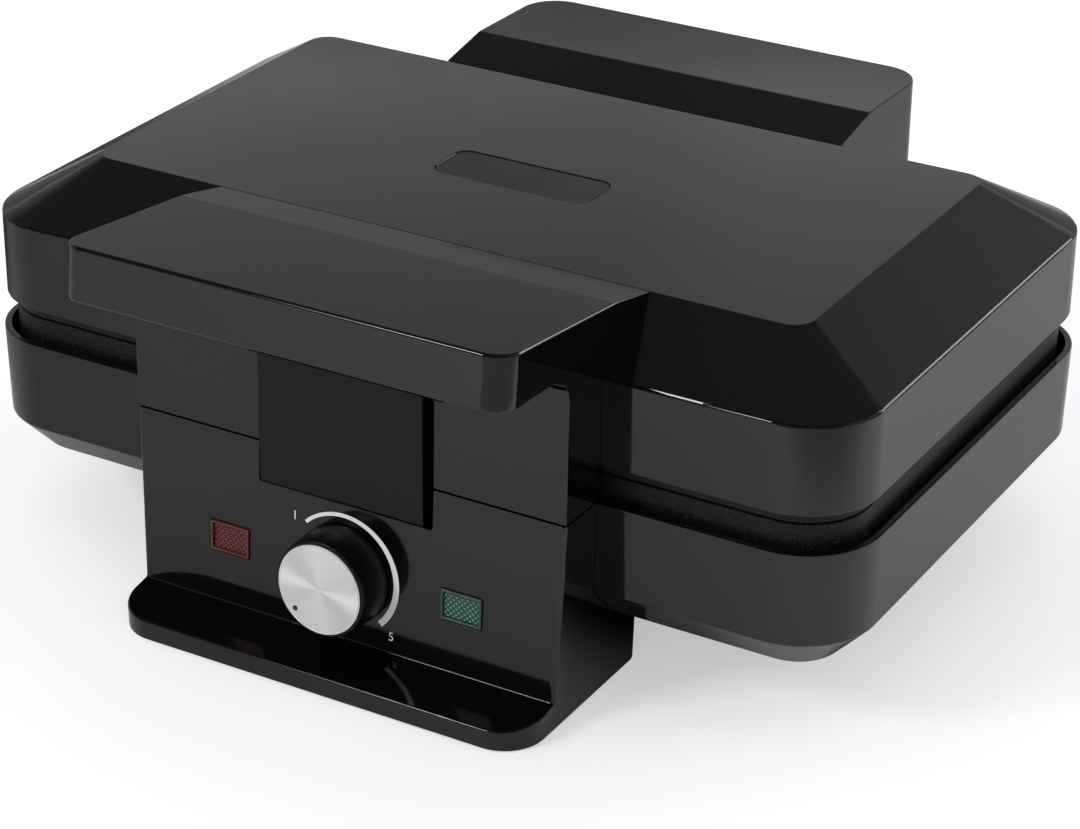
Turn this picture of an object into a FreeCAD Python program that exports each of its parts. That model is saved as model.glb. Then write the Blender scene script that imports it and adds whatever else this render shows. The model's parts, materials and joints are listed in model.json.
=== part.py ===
import FreeCAD, Part

import math
import os
import re
from collections import namedtuple

import Sketcher

# Waffle maker for two waffles: a hinged lid over a tray, on two stands, with controls in the front stand.
# Millimetres, +X to the right, +Y to the rear, +Z up. Every piece is drawn about the middle of the lid,
# and then moved so that the origin is under the middle of the whole object.

SIZES = {
    # Lid shell
    "lid_width": 340.0,
    "lid_depth": 207.6,
    "lid_corner": 26.6,
    "lid_base": 88.0,
    "lid_side": 31.4,
    "crown_rise": 18.1,
    "crown_inset": 31.0,
    "crown_corner": 8.0,
    "rim_round": 1.2,
    "shell": 2.5,
    "badge_width": 62.0,
    "badge_depth": 22.0,
    "badge_corner": 5.0,
    "badge_forward": 11.0,
    "badge_recess": 1.2,
    "badge_sheet": 0.9,
    # Lower housing, called the tray
    "rim_gap": 12.7,
    "tray_lip": 1.7,
    "tray_side": 33.4,
    "tray_draft": 0.8,
    "keel_drop": 13.2,
    "keel_inset": 12.5,
    "vent_length": 60.0,
    "vent_width": 3.0,
    "vent_pitch": 9.0,
    "vent_count": 7,
    "wire_hole": 12.0,
    "wire_hole_side": 30.0,
    "wire_hole_reach": 80.0,
    # Cooking plates
    "plate_inset": 3.5,
    "plate_height": 16.5,
    "plate_wall": 3.2,
    "parting_drop": 4.3,
    "parting_gap": 0.4,
    "cavity_width": 138.0,
    "cavity_length": 170.0,
    "cavity_space": 26.0,
    "cavity_corner": 8.0,
    "cavity_depth": 13.0,
    "cavity_draft": 4.0,
    "stud_base": 19.0,
    "stud_top": 15.5,
    "stud_height": 8.6,
    "stud_columns": 5,
    "stud_rows": 6,
    "rib_thickness": 2.5,
    "rib_space": 8.55,
    "rib_along": 45.0,
    "post_reach": 66.0,
    "post_width": 10.0,
    "post_base": 14.0,
    "plate_screw": 4.0,
    "plate_screw_head": 8.0,
    "plate_screw_sink": 1.8,
    "plate_screw_length": 18.0,
    # Heating
    "element_width": 6.5,
    "element_side": 125.0,
    "element_front": 48.0,
    "element_back": 58.0,
    "element_bend": 20.0,
    "element_ends": 14.0,
    "element_tail": 80.0,
    "terminal_width": 3.0,
    "terminal_length": 9.0,
    "clamp_side": 70.0,
    "clamp_width": 10.0,
    "clamp_flange": 7.0,
    "sheet": 0.8,
    "reflector_gap": 12.5,
    "reflector_inset": 12.0,
    "reflector_rim": 7.0,
    "reflector_corner": 11.0,
    "cutout_width": 16.0,
    "cutout_height": 9.0,
    "cutout_side": 60.0,
    "cutout_back": 25.0,
    # Front handle, on the lid
    "handle_width": 168.0,
    "handle_reach": 61.6,
    "handle_rise": 12.9,
    "crest_run": 24.2,
    "crest_rise": 5.5,
    "nose_height": 19.0,
    "nose_lean": 2.0,
    "nose_slope": 1.8,
    "nose_round": 1.2,
    "nose_corner": 9.5,
    "brow_round": 11.0,
    "skirt_reach": 20.6,
    "skirt_bone": 9.0,
    "handle_boss": 8.0,
    "boss_bite": 1.0,
    "boss_lift": 1.0,
    "handle_boss_inner": 28.0,
    "handle_boss_outer": 62.0,
    # Latch
    "latch_width": 68.0,
    "latch_gap": 2.0,
    "latch_top": 113.2,
    "latch_depth": 7.8,
    "latch_recess_floor": 60.9,
    "latch_floor_gap": 1.0,
    "flap_proud": 3.8,
    "flap_thickness": 6.0,
    "flap_barrel": 4.9,
    "latch_pin_width": 3.0,
    "latch_pin_seat": 4.0,
    "catch_gap": 0.4,
    "catch_width": 24.0,
    "catch_height": 7.0,
    "catch_depth": 2.2,
    # Front stand with the control panel
    "split_drop": 12.5,
    "split_gap": 0.4,
    "panel_reach": 21.5,
    "panel_lean": 2.93,
    "stand_taper": 2.3,
    "stand_edge": 1.6,
    "stand_back": 69.7,
    "stand_back_corner": 6.0,
    "floor_gap": 0.4,
    "foot_reach": 45.3,
    "foot_corner": 14.8,
    "foot_thickness": 10.6,
    "lip_height": 7.2,
    "foot_round": 0.8,
    # Rear stand and hinge
    "rear_step": 0.3,
    "rear_reach": 36.0,
    "rear_shoulder": 52.7,
    "rear_deck": 61.7,
    "rear_corner": 6.0,
    "hinge_reach": 25.2,
    "ear_radius": 15.0,
    "ear_inset": 4.0,
    "ear_thickness": 20.0,
    "arm_gap": 4.0,
    "arm_width": 16.0,
    "arm_radius": 9.0,
    "arm_top": 114.7,
    "arm_flange": 4.0,
    "hinge_pin_width": 6.0,
    "hinge_pin_overhang": 2.0,
    "washer_width": 12.0,
    "clip_width": 10.0,
    "clip_sheet": 1.0,
    "running_gap": 0.05,
    "round_spare": 0.2,
    "fit_gap": 0.2,
    # Rear hood, on the lid
    "hood_step": 1.5,
    "hood_reach": 42.1,
    "hood_rise": 4.2,
    "hood_crest_run": 23.9,
    "hood_crest_rise": 4.7,
    "hood_corner": 14.8,
    "hood_base": 101.2,
    # Base covers, feet and screws
    "cover_thickness": 2.5,
    "cover_post": 10.0,
    "cover_post_height": 17.0,
    "cover_post_margin": 1.0,
    "cover_post_front": 12.0,
    "cover_post_middle": 10.0,
    "cover_post_rear": 11.0,
    "foot_pad": 14.0,
    "foot_pad_sink": 1.5,
    "foot_pad_space": 3.1,
    "foot_pad_lip": 11.0,
    "foot_pad_rear": 14.0,
    "foot_pad_round": 0.6,
    "screw": 3.0,
    "screw_head": 6.4,
    "screw_head_height": 1.1,
    "screw_length": 12.0,
    "screw_tip_gap": 1.0,
    # Knob and thermostat
    "knob_height": 35.5,
    "knob_width": 36.0,
    "knob_nose": 34.6,
    "knob_depth": 13.6,
    "knob_stand_off": 0.8,
    "knob_round": 0.9,
    "disc_width": 32.2,
    "disc_proud": 0.5,
    "disc_sheet": 1.4,
    "spindle_width": 6.0,
    "spindle_hole": 9.0,
    "spindle_in": 12.0,
    "bracket_width": 38.0,
    "bracket_height": 20.0,
    "thermostat_width": 34.0,
    "thermostat_height": 22.0,
    "thermostat_depth": 8.0,
    "thermostat_base": 5.0,
    "thermostat_screw_side": 14.0,
    "tab_length": 6.0,
    "tab_width": 5.0,
    # Lamps
    "lamp_side": 46.0,
    "lens_width": 15.6,
    "lens_height": 10.9,
    "lens_proud": 0.6,
    "lens_gap": 0.3,
    "lens_flange": 1.7,
    "lens_flange_sheet": 1.5,
    "neon_width": 6.0,
    "neon_length": 14.0,
    # Mains entry
    "gland_side": 50.0,
    "gland_height": 18.0,
    "gland_neck": 13.6,
    "gland_flange": 19.0,
    "gland_sheet": 3.0,
    "gland_bore": 7.5,
    "block_width": 36.0,
    "block_depth": 18.0,
    "block_height": 16.0,
    "block_side": 27.0,
    "block_back": 109.0,
    "block_bore": 5.0,
}

DERIVED = {
    "shift": "(handle_reach - hood_reach) / 2",
    "lid_x": "lid_width / 2",
    "lid_y": "lid_depth / 2",
    "lid_rim": "lid_base + lid_side",
    "lid_top": "lid_rim + crown_rise",
    "crown_x": "lid_x - crown_inset",
    "crown_y": "lid_y - crown_inset",
    "tray_x": "lid_x + tray_lip",
    "tray_y": "lid_y + tray_lip",
    "tray_rim": "lid_base - rim_gap",
    "tray_foot": "tray_rim - tray_side",
    "tray_floor": "tray_foot - keel_drop",
    "keel_y": "tray_y - tray_draft - keel_inset",
    "plate_x": "lid_x - plate_inset",
    "plate_y": "lid_y - plate_inset",
    "parting": "lid_base - parting_drop",
    "half_parting": "parting_gap / 2",
    "cavity_middle": "(cavity_space + cavity_width) / 2",
    "element_radius": "element_width / 2",
    "split": "lid_base - split_drop",
    "handle_x": "handle_width / 2",
    "handle_front": "-lid_y - handle_reach",
    "crest_y": "-crown_y - crest_run",
    "crest_z": "lid_top + crest_rise",
    "nose_top": "lid_top + handle_rise",
    "nose_bottom": "nose_top - nose_height",
    "nose_crown": "handle_front + nose_lean",
    "skirt_y": "-lid_y - skirt_reach",
    "panel_top_y": "-lid_y - panel_reach",
    "panel_slope": "tan(panel_lean * 1 deg)",
    "panel_base_y": "panel_top_y - (split - floor_gap) * panel_slope",
    "panel_knob_y": "panel_top_y - (split - knob_height) * panel_slope",
    "stand_x": "handle_x",
    "stand_base_x": "stand_x - stand_taper",
    "hollow_x": "stand_base_x - shell",
    "foot_front": "-lid_y - foot_reach",
    "foot_top": "floor_gap + foot_thickness",
    "lip_top": "floor_gap + lip_height",
    "panel_foot_y": "panel_top_y - (split - foot_top) * panel_slope",
    "lip_slope": "(foot_thickness - lip_height) / (panel_foot_y - foot_front)",
    "lip_back": "panel_base_y + stand_edge * 2",
    "recess_y": "skirt_y + latch_depth",
    "flap_front": "skirt_y - flap_proud",
    "pivot_y": "flap_front + flap_barrel",
    "pivot_z": "latch_top - flap_barrel",
    "flap_x": "latch_width / 2 - latch_gap",
    "hinge_y": "lid_y + hinge_reach",
    "hinge_z": "parting",
    "rear_x": "stand_base_x + rear_step",
    "rear_y": "lid_y + rear_reach",
    "hood_x": "handle_x - hood_step",
    "hood_y": "lid_y + hood_reach",
    "cover_top": "floor_gap + cover_thickness",
    "front_post_x": "hollow_x - screw_head / 2 - cover_post_margin",
    "front_post_y": "panel_top_y + cover_post_front",
    "front_post_back": "-stand_back - cover_post_middle",
    "rear_hollow_x": "rear_x - shell",
    "rear_post_x": "rear_hollow_x - screw_head / 2 - cover_post_margin",
    "rear_post_y": "rear_y - cover_post_rear",
    "rear_post_front": "stand_back + cover_post_middle",
    "foot_pad_side": "rear_post_x - screw_head / 2 - foot_pad_space - foot_pad / 2",
    "foot_pad_front": "foot_front + foot_pad_lip",
    "foot_pad_back": "rear_y - foot_pad_rear",
    "pin_radius": "hinge_pin_width / 2",
    "ear_outer": "rear_x - ear_inset",
    "ear_inner": "ear_outer - ear_thickness",
    "arm_outer": "ear_inner - arm_gap",
    "arm_inner": "arm_outer - arm_width",
    "disc_back": "knob_stand_off + knob_depth + disc_proud - disc_sheet",
    "boss_z": "(parting + plate_height + lid_rim) / 2 + boss_lift",
    "hood_boss_x": "hood_x - shell - handle_boss / 2 + boss_bite",
    "rib_side": "hood_boss_x + screw_head / 2 + rib_space + rib_thickness / 2",
    "arm_screw_near": "arm_inner + (arm_outer - arm_inner) / 4",
    "arm_screw_far": "arm_outer - (arm_outer - arm_inner) / 4",
    "catch_face": "recess_y - catch_depth",
    "hook_tip": "catch_face - catch_gap",
    "flap_bottom": "latch_recess_floor + latch_floor_gap",
    "hook_top": "flap_bottom + catch_height / 2",
}

Circle = namedtuple("Circle", "x y radius")

doc = FreeCAD.newDocument("waffle_maker")
sheet = doc.addObject("Spreadsheet::Sheet", "dims")
for row, (name, size) in enumerate(SIZES.items(), start=1):
    sheet.set(f"A{row}", name)
    sheet.set(f"B{row}", str(size))
    sheet.setAlias(f"B{row}", name)
doc.recompute()

pieces = []


def bound(text):
    """Turn an expression over the named sizes into one over the cells of the sheet."""

    def cell(match):
        word = match.group(0)
        if word in SIZES:
            return f"dims.{word}"
        if word in DERIVED:
            return f"({bound(DERIVED[word])})"
        return word

    return re.sub(r"[a-z_]+", cell, text)


def number(text):
    """Value of an expression over the named sizes."""
    return float(sheet.evalExpression(bound(text)))


def minus(text):
    """The expression with its sign changed."""
    return f"-({text})"


def rectangle(left, right, low, high, radius=None):
    """Corners of a rectangle, rounded where a radius is given."""
    tail = () if radius is None else (radius,)
    return [(left, low) + tail, (right, low) + tail, (right, high) + tail, (left, high) + tail]


def centred(half_x, half_y, radius=None):
    """Corners of a rectangle about the middle of its sketch."""
    return rectangle(minus(half_x), half_x, minus(half_y), half_y, radius)


def pin_point(sketch, geometry, end, x, y):
    """Hold one point of a sketch at a place given by two expressions."""
    for kind, text in (("DistanceX", x), ("DistanceY", y)):
        index = sketch.addConstraint(Sketcher.Constraint(kind, -1, 1, geometry, end, number(text)))
        sketch.setExpression(f"Constraints[{index}]", bound(text))


def draw_circle(sketch, circle):
    """Add a circle whose middle and radius follow their expressions."""
    middle = FreeCAD.Vector(number(circle.x), number(circle.y), 0)
    shape = Part.Circle(middle, FreeCAD.Vector(0, 0, 1), number(circle.radius))
    index = sketch.addGeometry(shape, False)
    pin_point(sketch, index, 3, circle.x, circle.y)
    hold = sketch.addConstraint(Sketcher.Constraint("Radius", index, number(circle.radius)))
    sketch.setExpression(f"Constraints[{hold}]", bound(circle.radius))


def corner_arc(before, corner, after, radius):
    """Tangent points, middle and turn of the arc that rounds a corner."""
    inward = (corner - before).normalize()
    outward = (after - corner).normalize()
    turn = inward.x * outward.y - inward.y * outward.x
    length = radius * math.tan(inward.getAngle(outward) / 2)
    start = corner - inward * length
    side = FreeCAD.Vector(-inward.y, inward.x, 0) * math.copysign(radius, turn)
    return start, corner + outward * length, start + side, turn > 0


def draw_line(sketch, corners, closed):
    """Add straight runs between corners, with a tangent arc at each corner that has a radius."""
    points = [FreeCAD.Vector(number(corner[0]), number(corner[1]), 0) for corner in corners]
    count = len(corners)
    starts = list(points)
    ends = list(points)
    arcs = {}
    for index, corner in enumerate(corners):
        if len(corner) == 3:
            start, end, middle, left = corner_arc(
                points[index - 1], points[index], points[(index + 1) % count], number(corner[2])
            )
            ends[index] = start
            starts[index] = end
            arcs[index] = (middle, left)
    lines = {}
    for index in range(count if closed else count - 1):
        run = Part.LineSegment(starts[index], ends[(index + 1) % count])
        lines[index] = sketch.addGeometry(run, False)
    for index, corner in enumerate(corners):
        before = lines.get((index - 1) % count if closed else index - 1)
        after = lines.get(index)
        if index in arcs:
            tangents = (ends[index], starts[index])
            round_corner(sketch, corner, points[index], tangents, arcs[index], before, after)
        elif before is None:
            pin_point(sketch, after, 1, corner[0], corner[1])
        else:
            pin_point(sketch, before, 2, corner[0], corner[1])
            if after is not None:
                sketch.addConstraint(Sketcher.Constraint("Coincident", before, 2, after, 1))


def round_corner(sketch, corner, point, tangents, arc, before, after):
    """Join two runs by an arc, with the sharp corner kept as a construction point."""
    start, end = tangents
    middle, left = arc
    first, last = (start, end) if left else (end, start)
    angles = [math.atan2(spot.y - middle.y, spot.x - middle.x) for spot in (first, last)]
    circle = Part.Circle(middle, FreeCAD.Vector(0, 0, 1), number(corner[2]))
    bend = sketch.addGeometry(Part.ArcOfCircle(circle, angles[0], angles[1]), False)
    peg = sketch.addGeometry(Part.Point(point), True)
    enter, leave = (1, 2) if left else (2, 1)
    sketch.addConstraint(Sketcher.Constraint("Tangent", before, 2, bend, enter))
    sketch.addConstraint(Sketcher.Constraint("Tangent", bend, leave, after, 1))
    hold = sketch.addConstraint(Sketcher.Constraint("Radius", bend, number(corner[2])))
    sketch.setExpression(f"Constraints[{hold}]", bound(corner[2]))
    pin_point(sketch, peg, 1, corner[0], corner[1])
    sketch.addConstraint(Sketcher.Constraint("PointOnObject", peg, 1, before))
    sketch.addConstraint(Sketcher.Constraint("PointOnObject", peg, 1, after))


class Piece:
    """One piece of the object, grown feature by feature in a body of its own."""

    def __init__(self, label, on_panel=False, many=False):
        self.body = doc.addObject("PartDesign::Body", label)
        self.body.Label = label
        self.body.AllowCompound = many
        self.body.setExpression("Placement.Base.y", bound("shift"))
        if on_panel:
            self.body.Placement.Rotation = FreeCAD.Rotation(FreeCAD.Vector(1, 0, 0), 90)
            self.body.setExpression("Placement.Base.y", bound("shift + panel_knob_y"))
            self.body.setExpression("Placement.Base.z", bound("knob_height"))
            self.body.setExpression("Placement.Rotation.Angle", bound("90 - panel_lean"))
        self.planes = {feature.Role: feature for feature in self.body.Origin.OriginFeatures}
        pieces.append(self.body)

    def sketch(self, plane, level, *loops, closed=True):
        """Sketch on a main plane moved to a level, or square to the control panel."""
        sketch = self.body.newObject("Sketcher::SketchObject", f"{self.body.Label}_outline")
        if plane == "panel":
            sketch.AttachmentSupport = [(self.planes["XY_Plane"], "")]
            sketch.MapMode = "FlatFace"
            sketch.AttachmentOffset = FreeCAD.Placement(
                FreeCAD.Vector(), FreeCAD.Rotation(FreeCAD.Vector(1, 0, 0), 90)
            )
            sketch.setExpression("AttachmentOffset.Rotation.Angle", bound("90 - panel_lean"))
            depth = f"panel_knob_y - ({level}) * cos(panel_lean * 1 deg)"
            height = f"knob_height + ({level}) * sin(panel_lean * 1 deg)"
            sketch.setExpression("AttachmentOffset.Base.y", bound(depth))
            sketch.setExpression("AttachmentOffset.Base.z", bound(height))
        else:
            sketch.AttachmentSupport = [(self.planes[f"{plane}_Plane"], "")]
            sketch.MapMode = "FlatFace"
            offset = minus(level) if plane == "XZ" else level
            sketch.setExpression("AttachmentOffset.Base.z", bound(offset))
        for loop in loops:
            if isinstance(loop, Circle):
                draw_circle(sketch, loop)
            else:
                draw_line(sketch, loop, closed)
        return sketch

    def span(self, kind, plane, start, end, loops):
        """Add or cut the prism of an outline between two levels."""
        sketch = self.sketch(plane, start, *loops)
        feature = self.body.newObject(f"PartDesign::{kind}", f"{self.body.Label}_{kind.lower()}")
        feature.Profile = sketch
        forward = number(end) > number(start)
        low, high = (start, end) if forward else (end, start)
        feature.setExpression("Length", bound(f"({high}) - ({low})"))
        along = forward != (plane == "XZ")
        feature.Reversed = along if kind == "Pocket" else not along
        return feature

    def pad(self, plane, start, end, *loops):
        """Prism between two levels."""
        return self.span("Pad", plane, start, end, loops)

    def pocket(self, plane, start, end, *loops):
        """Cut between two levels."""
        return self.span("Pocket", plane, start, end, loops)

    def loft(self, kind, *sections):
        """Straight-sided loft through outlines at their levels."""
        sketches = [self.sketch("XY", level, loop) for level, loop in sections]
        feature = self.body.newObject(f"PartDesign::{kind}Loft", f"{self.body.Label}_loft")
        feature.Profile = sketches[0]
        feature.Sections = sketches[1:]
        feature.Ruled = True
        return feature

    def revolve(self, half_section):
        """Turn a half section about the upright axis of its sketch."""
        sketch = self.sketch("XZ", "0", half_section)
        feature = self.body.newObject("PartDesign::Revolution", f"{self.body.Label}_turned")
        feature.Profile = sketch
        feature.ReferenceAxis = (sketch, ["V_Axis"])
        return feature

    def repeat(self, feature, sketch, counts, pitches):
        """Repeat a feature in rows along the two axes of a sketch."""
        pattern = self.body.newObject("PartDesign::LinearPattern", f"{self.body.Label}_rows")
        pattern.Originals = [feature]
        for tail, axis, count, pitch in zip(("", "2"), ("H_Axis", "V_Axis"), counts, pitches):
            setattr(pattern, f"Direction{tail}", (sketch, [axis]))
            setattr(pattern, f"Mode{tail}", "Spacing")
            pattern.setExpression(f"Occurrences{tail}", bound(count))
            pattern.setExpression(f"Offset{tail}", bound(pitch))
        self.body.Tip = pattern
        return pattern

    def fillet(self, radius, chosen):
        """Round the edges that a test chooses."""
        doc.recompute()
        tip = self.body.Tip
        names = [f"Edge{index}" for index, edge in enumerate(tip.Shape.Edges, start=1) if chosen(edge)]
        feature = self.body.newObject("PartDesign::Fillet", f"{self.body.Label}_fillet")
        feature.Base = (tip, names)
        feature.setExpression("Radius", bound(radius))
        return feature


def near(value, target):
    """Whether two lengths agree to a hundredth of a millimetre."""
    return abs(value - target) < 0.01


def level_edge(height):
    """Test for edges that lie wholly at one height."""
    level = number(height)
    return lambda edge: near(edge.BoundBox.ZMin, level) and near(edge.BoundBox.ZMax, level)


def upright_edge(x, y):
    """Test for upright edges at a distance from the middle plane and at a depth."""
    side = number(x)
    depth = number(y)

    def chosen(edge):
        box = edge.BoundBox
        upright = near(box.XLength, 0) and near(box.YLength, 0)
        return upright and near(abs(box.Center.x), side) and near(box.Center.y, depth)

    return chosen


def lid_outline(inset="0"):
    """Plan of the lid's wall, moved in by an inset."""
    return centred(f"lid_x - ({inset})", f"lid_y - ({inset})", f"lid_corner - ({inset})")


def tray_outline(inset="0"):
    """Plan of the tray's wall, moved in by an inset."""
    return centred(f"tray_x - ({inset})", f"tray_y - ({inset})", f"lid_corner + tray_lip - ({inset})")


def support_ribs(piece, wall_x, wall_y, start, end):
    """Upright ribs inside a wall, under the skirt of a cooking plate."""
    half = "rib_thickness / 2"
    for side in ("", "-"):
        for place in ("rib_along", "-rib_along"):
            inner, outer = sorted((f"{side}(plate_x - plate_wall)", f"{side}({wall_x})"), key=number)
            piece.pad("XY", start, end, rectangle(inner, outer, f"{place} - {half}", f"{place} + {half}"))
        for place in ("(rib_side)", "-(rib_side)"):
            inner, outer = sorted((f"{side}(plate_y - plate_wall)", f"{side}({wall_y})"), key=number)
            piece.pad("XY", start, end, rectangle(f"{place} - {half}", f"{place} + {half}", inner, outer))


def post_circles(radius):
    """The two posts that hold a cooking plate, on the middle line."""
    return Circle("0", "post_reach", radius), Circle("0", "-post_reach", radius)


def upper_housing():
    """Lid shell: upright wall, bevelled crown, posts and ribs for the plate, badge recess."""
    piece = Piece("upper_housing")
    crown = centred("crown_x", "crown_y", "crown_corner")
    piece.pad("XY", "lid_base", "lid_rim", lid_outline())
    piece.loft("Additive", ("lid_rim", lid_outline()), ("lid_top", crown))
    piece.fillet("rim_round", level_edge("lid_rim"))
    piece.fillet("rim_round", level_edge("lid_top"))
    inner = centred("crown_x - shell / 2", "crown_y - shell / 2", "crown_corner - shell / 2")
    piece.pocket("XY", "lid_base", "lid_rim - shell / 2", lid_outline("shell"))
    piece.loft("Subtractive", ("lid_rim - shell / 2", lid_outline("shell")), ("lid_top - shell", inner))
    flange = "parting + half_parting + plate_wall"
    reflector = "parting + half_parting + plate_height + reflector_gap"
    piece.pad("XY", flange, "lid_top - shell / 2", *post_circles("post_width / 2"))
    piece.pad("XY", f"{reflector} + sheet", "lid_top - shell / 2", *post_circles("post_base / 2"))
    bores = post_circles("plate_screw / 2 + running_gap")
    piece.pocket("XY", flange, f"{flange} + plate_screw_length", *bores)
    plate_back = "parting + half_parting + plate_height"
    support_ribs(piece, "lid_x - shell / 2", "lid_y - shell / 2", plate_back, "lid_rim")
    badge = rectangle(
        "-badge_width / 2", "badge_width / 2", "-badge_forward - badge_depth / 2",
        "-badge_forward + badge_depth / 2", "badge_corner",
    )
    piece.pocket("XY", "lid_top", "lid_top - badge_recess", badge)
    screw = "screw / 2 + running_gap"
    front = [Circle(x, "boss_z", screw) for x in handle_boss_sides()]
    piece.pocket("XZ", "-lid_y", "-lid_y + shell", *front)
    back = [Circle(x, "boss_z", screw) for x in hood_boss_sides() + arm_screw_sides()]
    piece.pocket("XZ", "lid_y", "lid_y - shell", *back)


def handle_boss_sides():
    """Sideways places of the four screws that hold the handle."""
    return ["-handle_boss_outer", "-handle_boss_inner", "handle_boss_inner", "handle_boss_outer"]


def hood_boss_sides():
    """Sideways places of the two screws that hold the hood."""
    return ["-hood_boss_x", "hood_boss_x"]


def arm_screw_sides():
    """Sideways places of the screws that hold the hinge arms."""
    return ["-arm_screw_near", "-arm_screw_far", "arm_screw_near", "arm_screw_far"]


def badge_plate():
    """Bare plate in the recess of the crown."""
    piece = Piece("badge_plate")
    half_x = "badge_width / 2 - fit_gap"
    half_y = "badge_depth / 2 - fit_gap"
    low = f"-badge_forward - ({half_y})"
    high = f"-badge_forward + {half_y}"
    outline = rectangle(minus(half_x), half_x, low, high, "badge_corner - fit_gap")
    piece.pad("XY", "lid_top - badge_recess", "lid_top - badge_recess + badge_sheet", outline)


def nose_corners(piece):
    """Round the two upright corners of the leaning nose, then the rim of its top."""

    def corner(side, height):
        front = f"handle_front + nose_lean * ({height} - nose_bottom) / nose_height"
        edge = f"{side}handle_x"
        past = f"{side}(handle_x + shell)"
        inner = f"{side}(handle_x - nose_corner * 1.5)"
        return [
            (past, f"{front} - shell"),
            (past, f"{front} + nose_corner * 1.5"),
            (edge, f"{front} + nose_corner * 1.5"),
            (edge, front, "nose_corner"),
            (inner, front),
            (inner, f"{front} - shell"),
        ]

    low = "nose_bottom - nose_slope - shell"
    high = "nose_top + shell"
    for side in ("", "-"):
        piece.loft("Subtractive", (low, corner(side, f"({low})")), (high, corner(side, f"({high})")))
    back = number("crest_y")
    front = number("nose_crown")
    slope = number("(nose_top - crest_z) / (nose_crown - crest_y)")
    top = number("nose_top")

    def rim(edge):
        on_top = all(near(spot.Z, top + (spot.Y - front) * slope) for spot in edge.Vertexes)
        return on_top and edge.BoundBox.YMin < back - 0.01

    piece.fillet("nose_round", rim)


def front_handle():
    """Handle block on the lid: wedge, overhanging nose, concave brow and skirt with the latch recess."""
    piece = Piece("front_handle")
    skirt_back = "-tray_y - fit_gap"
    profile = [
        ("-lid_y", "lid_rim"),
        ("-crown_y", "lid_top"),
        ("crest_y", "crest_z"),
        ("nose_crown", "nose_top"),
        ("handle_front", "nose_bottom", "nose_round"),
        ("skirt_y", "nose_bottom - nose_slope", "brow_round"),
        ("panel_top_y", "split + split_gap"),
        (skirt_back, "split + split_gap"),
        (skirt_back, "lid_base"),
        ("-lid_y", "lid_base"),
    ]
    piece.pad("YZ", "-handle_x", "handle_x", profile)
    nose_corners(piece)
    bone = "-lid_y - skirt_bone"
    chamfer_run = "crown_inset / 3"
    hollow = [
        ("-lid_y", "lid_base + shell * 2"),
        (bone, "lid_base + shell * 2"),
        (bone, "nose_bottom + shell"),
        ("handle_front + shell", "nose_bottom + shell"),
        ("nose_crown + shell", "nose_top - shell"),
        ("crest_y", "crest_z - shell"),
        (f"-crown_y - {chamfer_run}", "lid_top - crown_rise / 3"),
        ("-lid_y", "lid_rim"),
    ]
    inner = "handle_x - nose_corner"
    piece.pocket("YZ", f"-({inner})", inner, hollow)
    bosses = [Circle(x, "boss_z", "handle_boss / 2") for x in handle_boss_sides()]
    piece.pad("XZ", "-lid_y", bone, *bosses)
    bores = [Circle(x, "boss_z", "screw / 2 + running_gap") for x in handle_boss_sides()]
    piece.pocket("XZ", "-lid_y", "-lid_y - screw_length + shell", *bores)
    recess = rectangle("-latch_width / 2", "latch_width / 2", "split", "latch_top + latch_floor_gap")
    piece.pocket("XZ", "handle_front", "recess_y", recess)
    pin = Circle("pivot_y", "pivot_z", "latch_pin_width / 2 + running_gap / 2")
    reach = "latch_width / 2 + latch_pin_seat"
    piece.pocket("YZ", f"-({reach})", reach, pin)


def latch_flap():
    """Latch: flap with a barrel on its pin and a hook rib behind its lower edge."""
    piece = Piece("latch_flap")
    low = "flap_bottom"
    back = "flap_front + flap_thickness"
    radius = "flap_barrel - round_spare"
    profile = [
        ("flap_front", low, "nose_round"),
        (back, low),
        (back, "pivot_z - flap_barrel * 1.6"),
        ("flap_front + flap_barrel * 2", "pivot_z - flap_barrel * 0.6"),
        ("flap_front + flap_barrel * 2", "latch_top", radius),
        ("flap_front", "latch_top", radius),
    ]
    piece.pad("YZ", "-flap_x", "flap_x", profile)
    hook = "catch_width / 2 + latch_gap"
    lug = rectangle(back, "hook_tip", low, "hook_top")
    piece.pad("YZ", f"-({hook})", hook, lug)
    bore = Circle("pivot_y", "pivot_z", "latch_pin_width / 2 + running_gap")
    piece.pocket("YZ", "-flap_x", "flap_x", bore)


def latch_pin():
    """Pin of the latch, held in the two walls of its recess."""
    piece = Piece("latch_pin")
    reach = "latch_width / 2 + latch_pin_seat - fit_gap"
    piece.pad("YZ", f"-({reach})", reach, Circle("pivot_y", "pivot_z", "latch_pin_width / 2"))


def catch_plate():
    """Catch in the base recess that the latch's hook rib closes against."""
    piece = Piece("catch_plate")
    low = "latch_recess_floor"
    outline = [
        ("recess_y", low),
        ("catch_face", low),
        ("catch_face", f"{low} + catch_height * 0.7"),
        ("recess_y - catch_depth / 3", f"{low} + catch_height"),
        ("recess_y", f"{low} + catch_height"),
    ]
    piece.pad("YZ", "-catch_width / 2", "catch_width / 2", outline)


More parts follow.
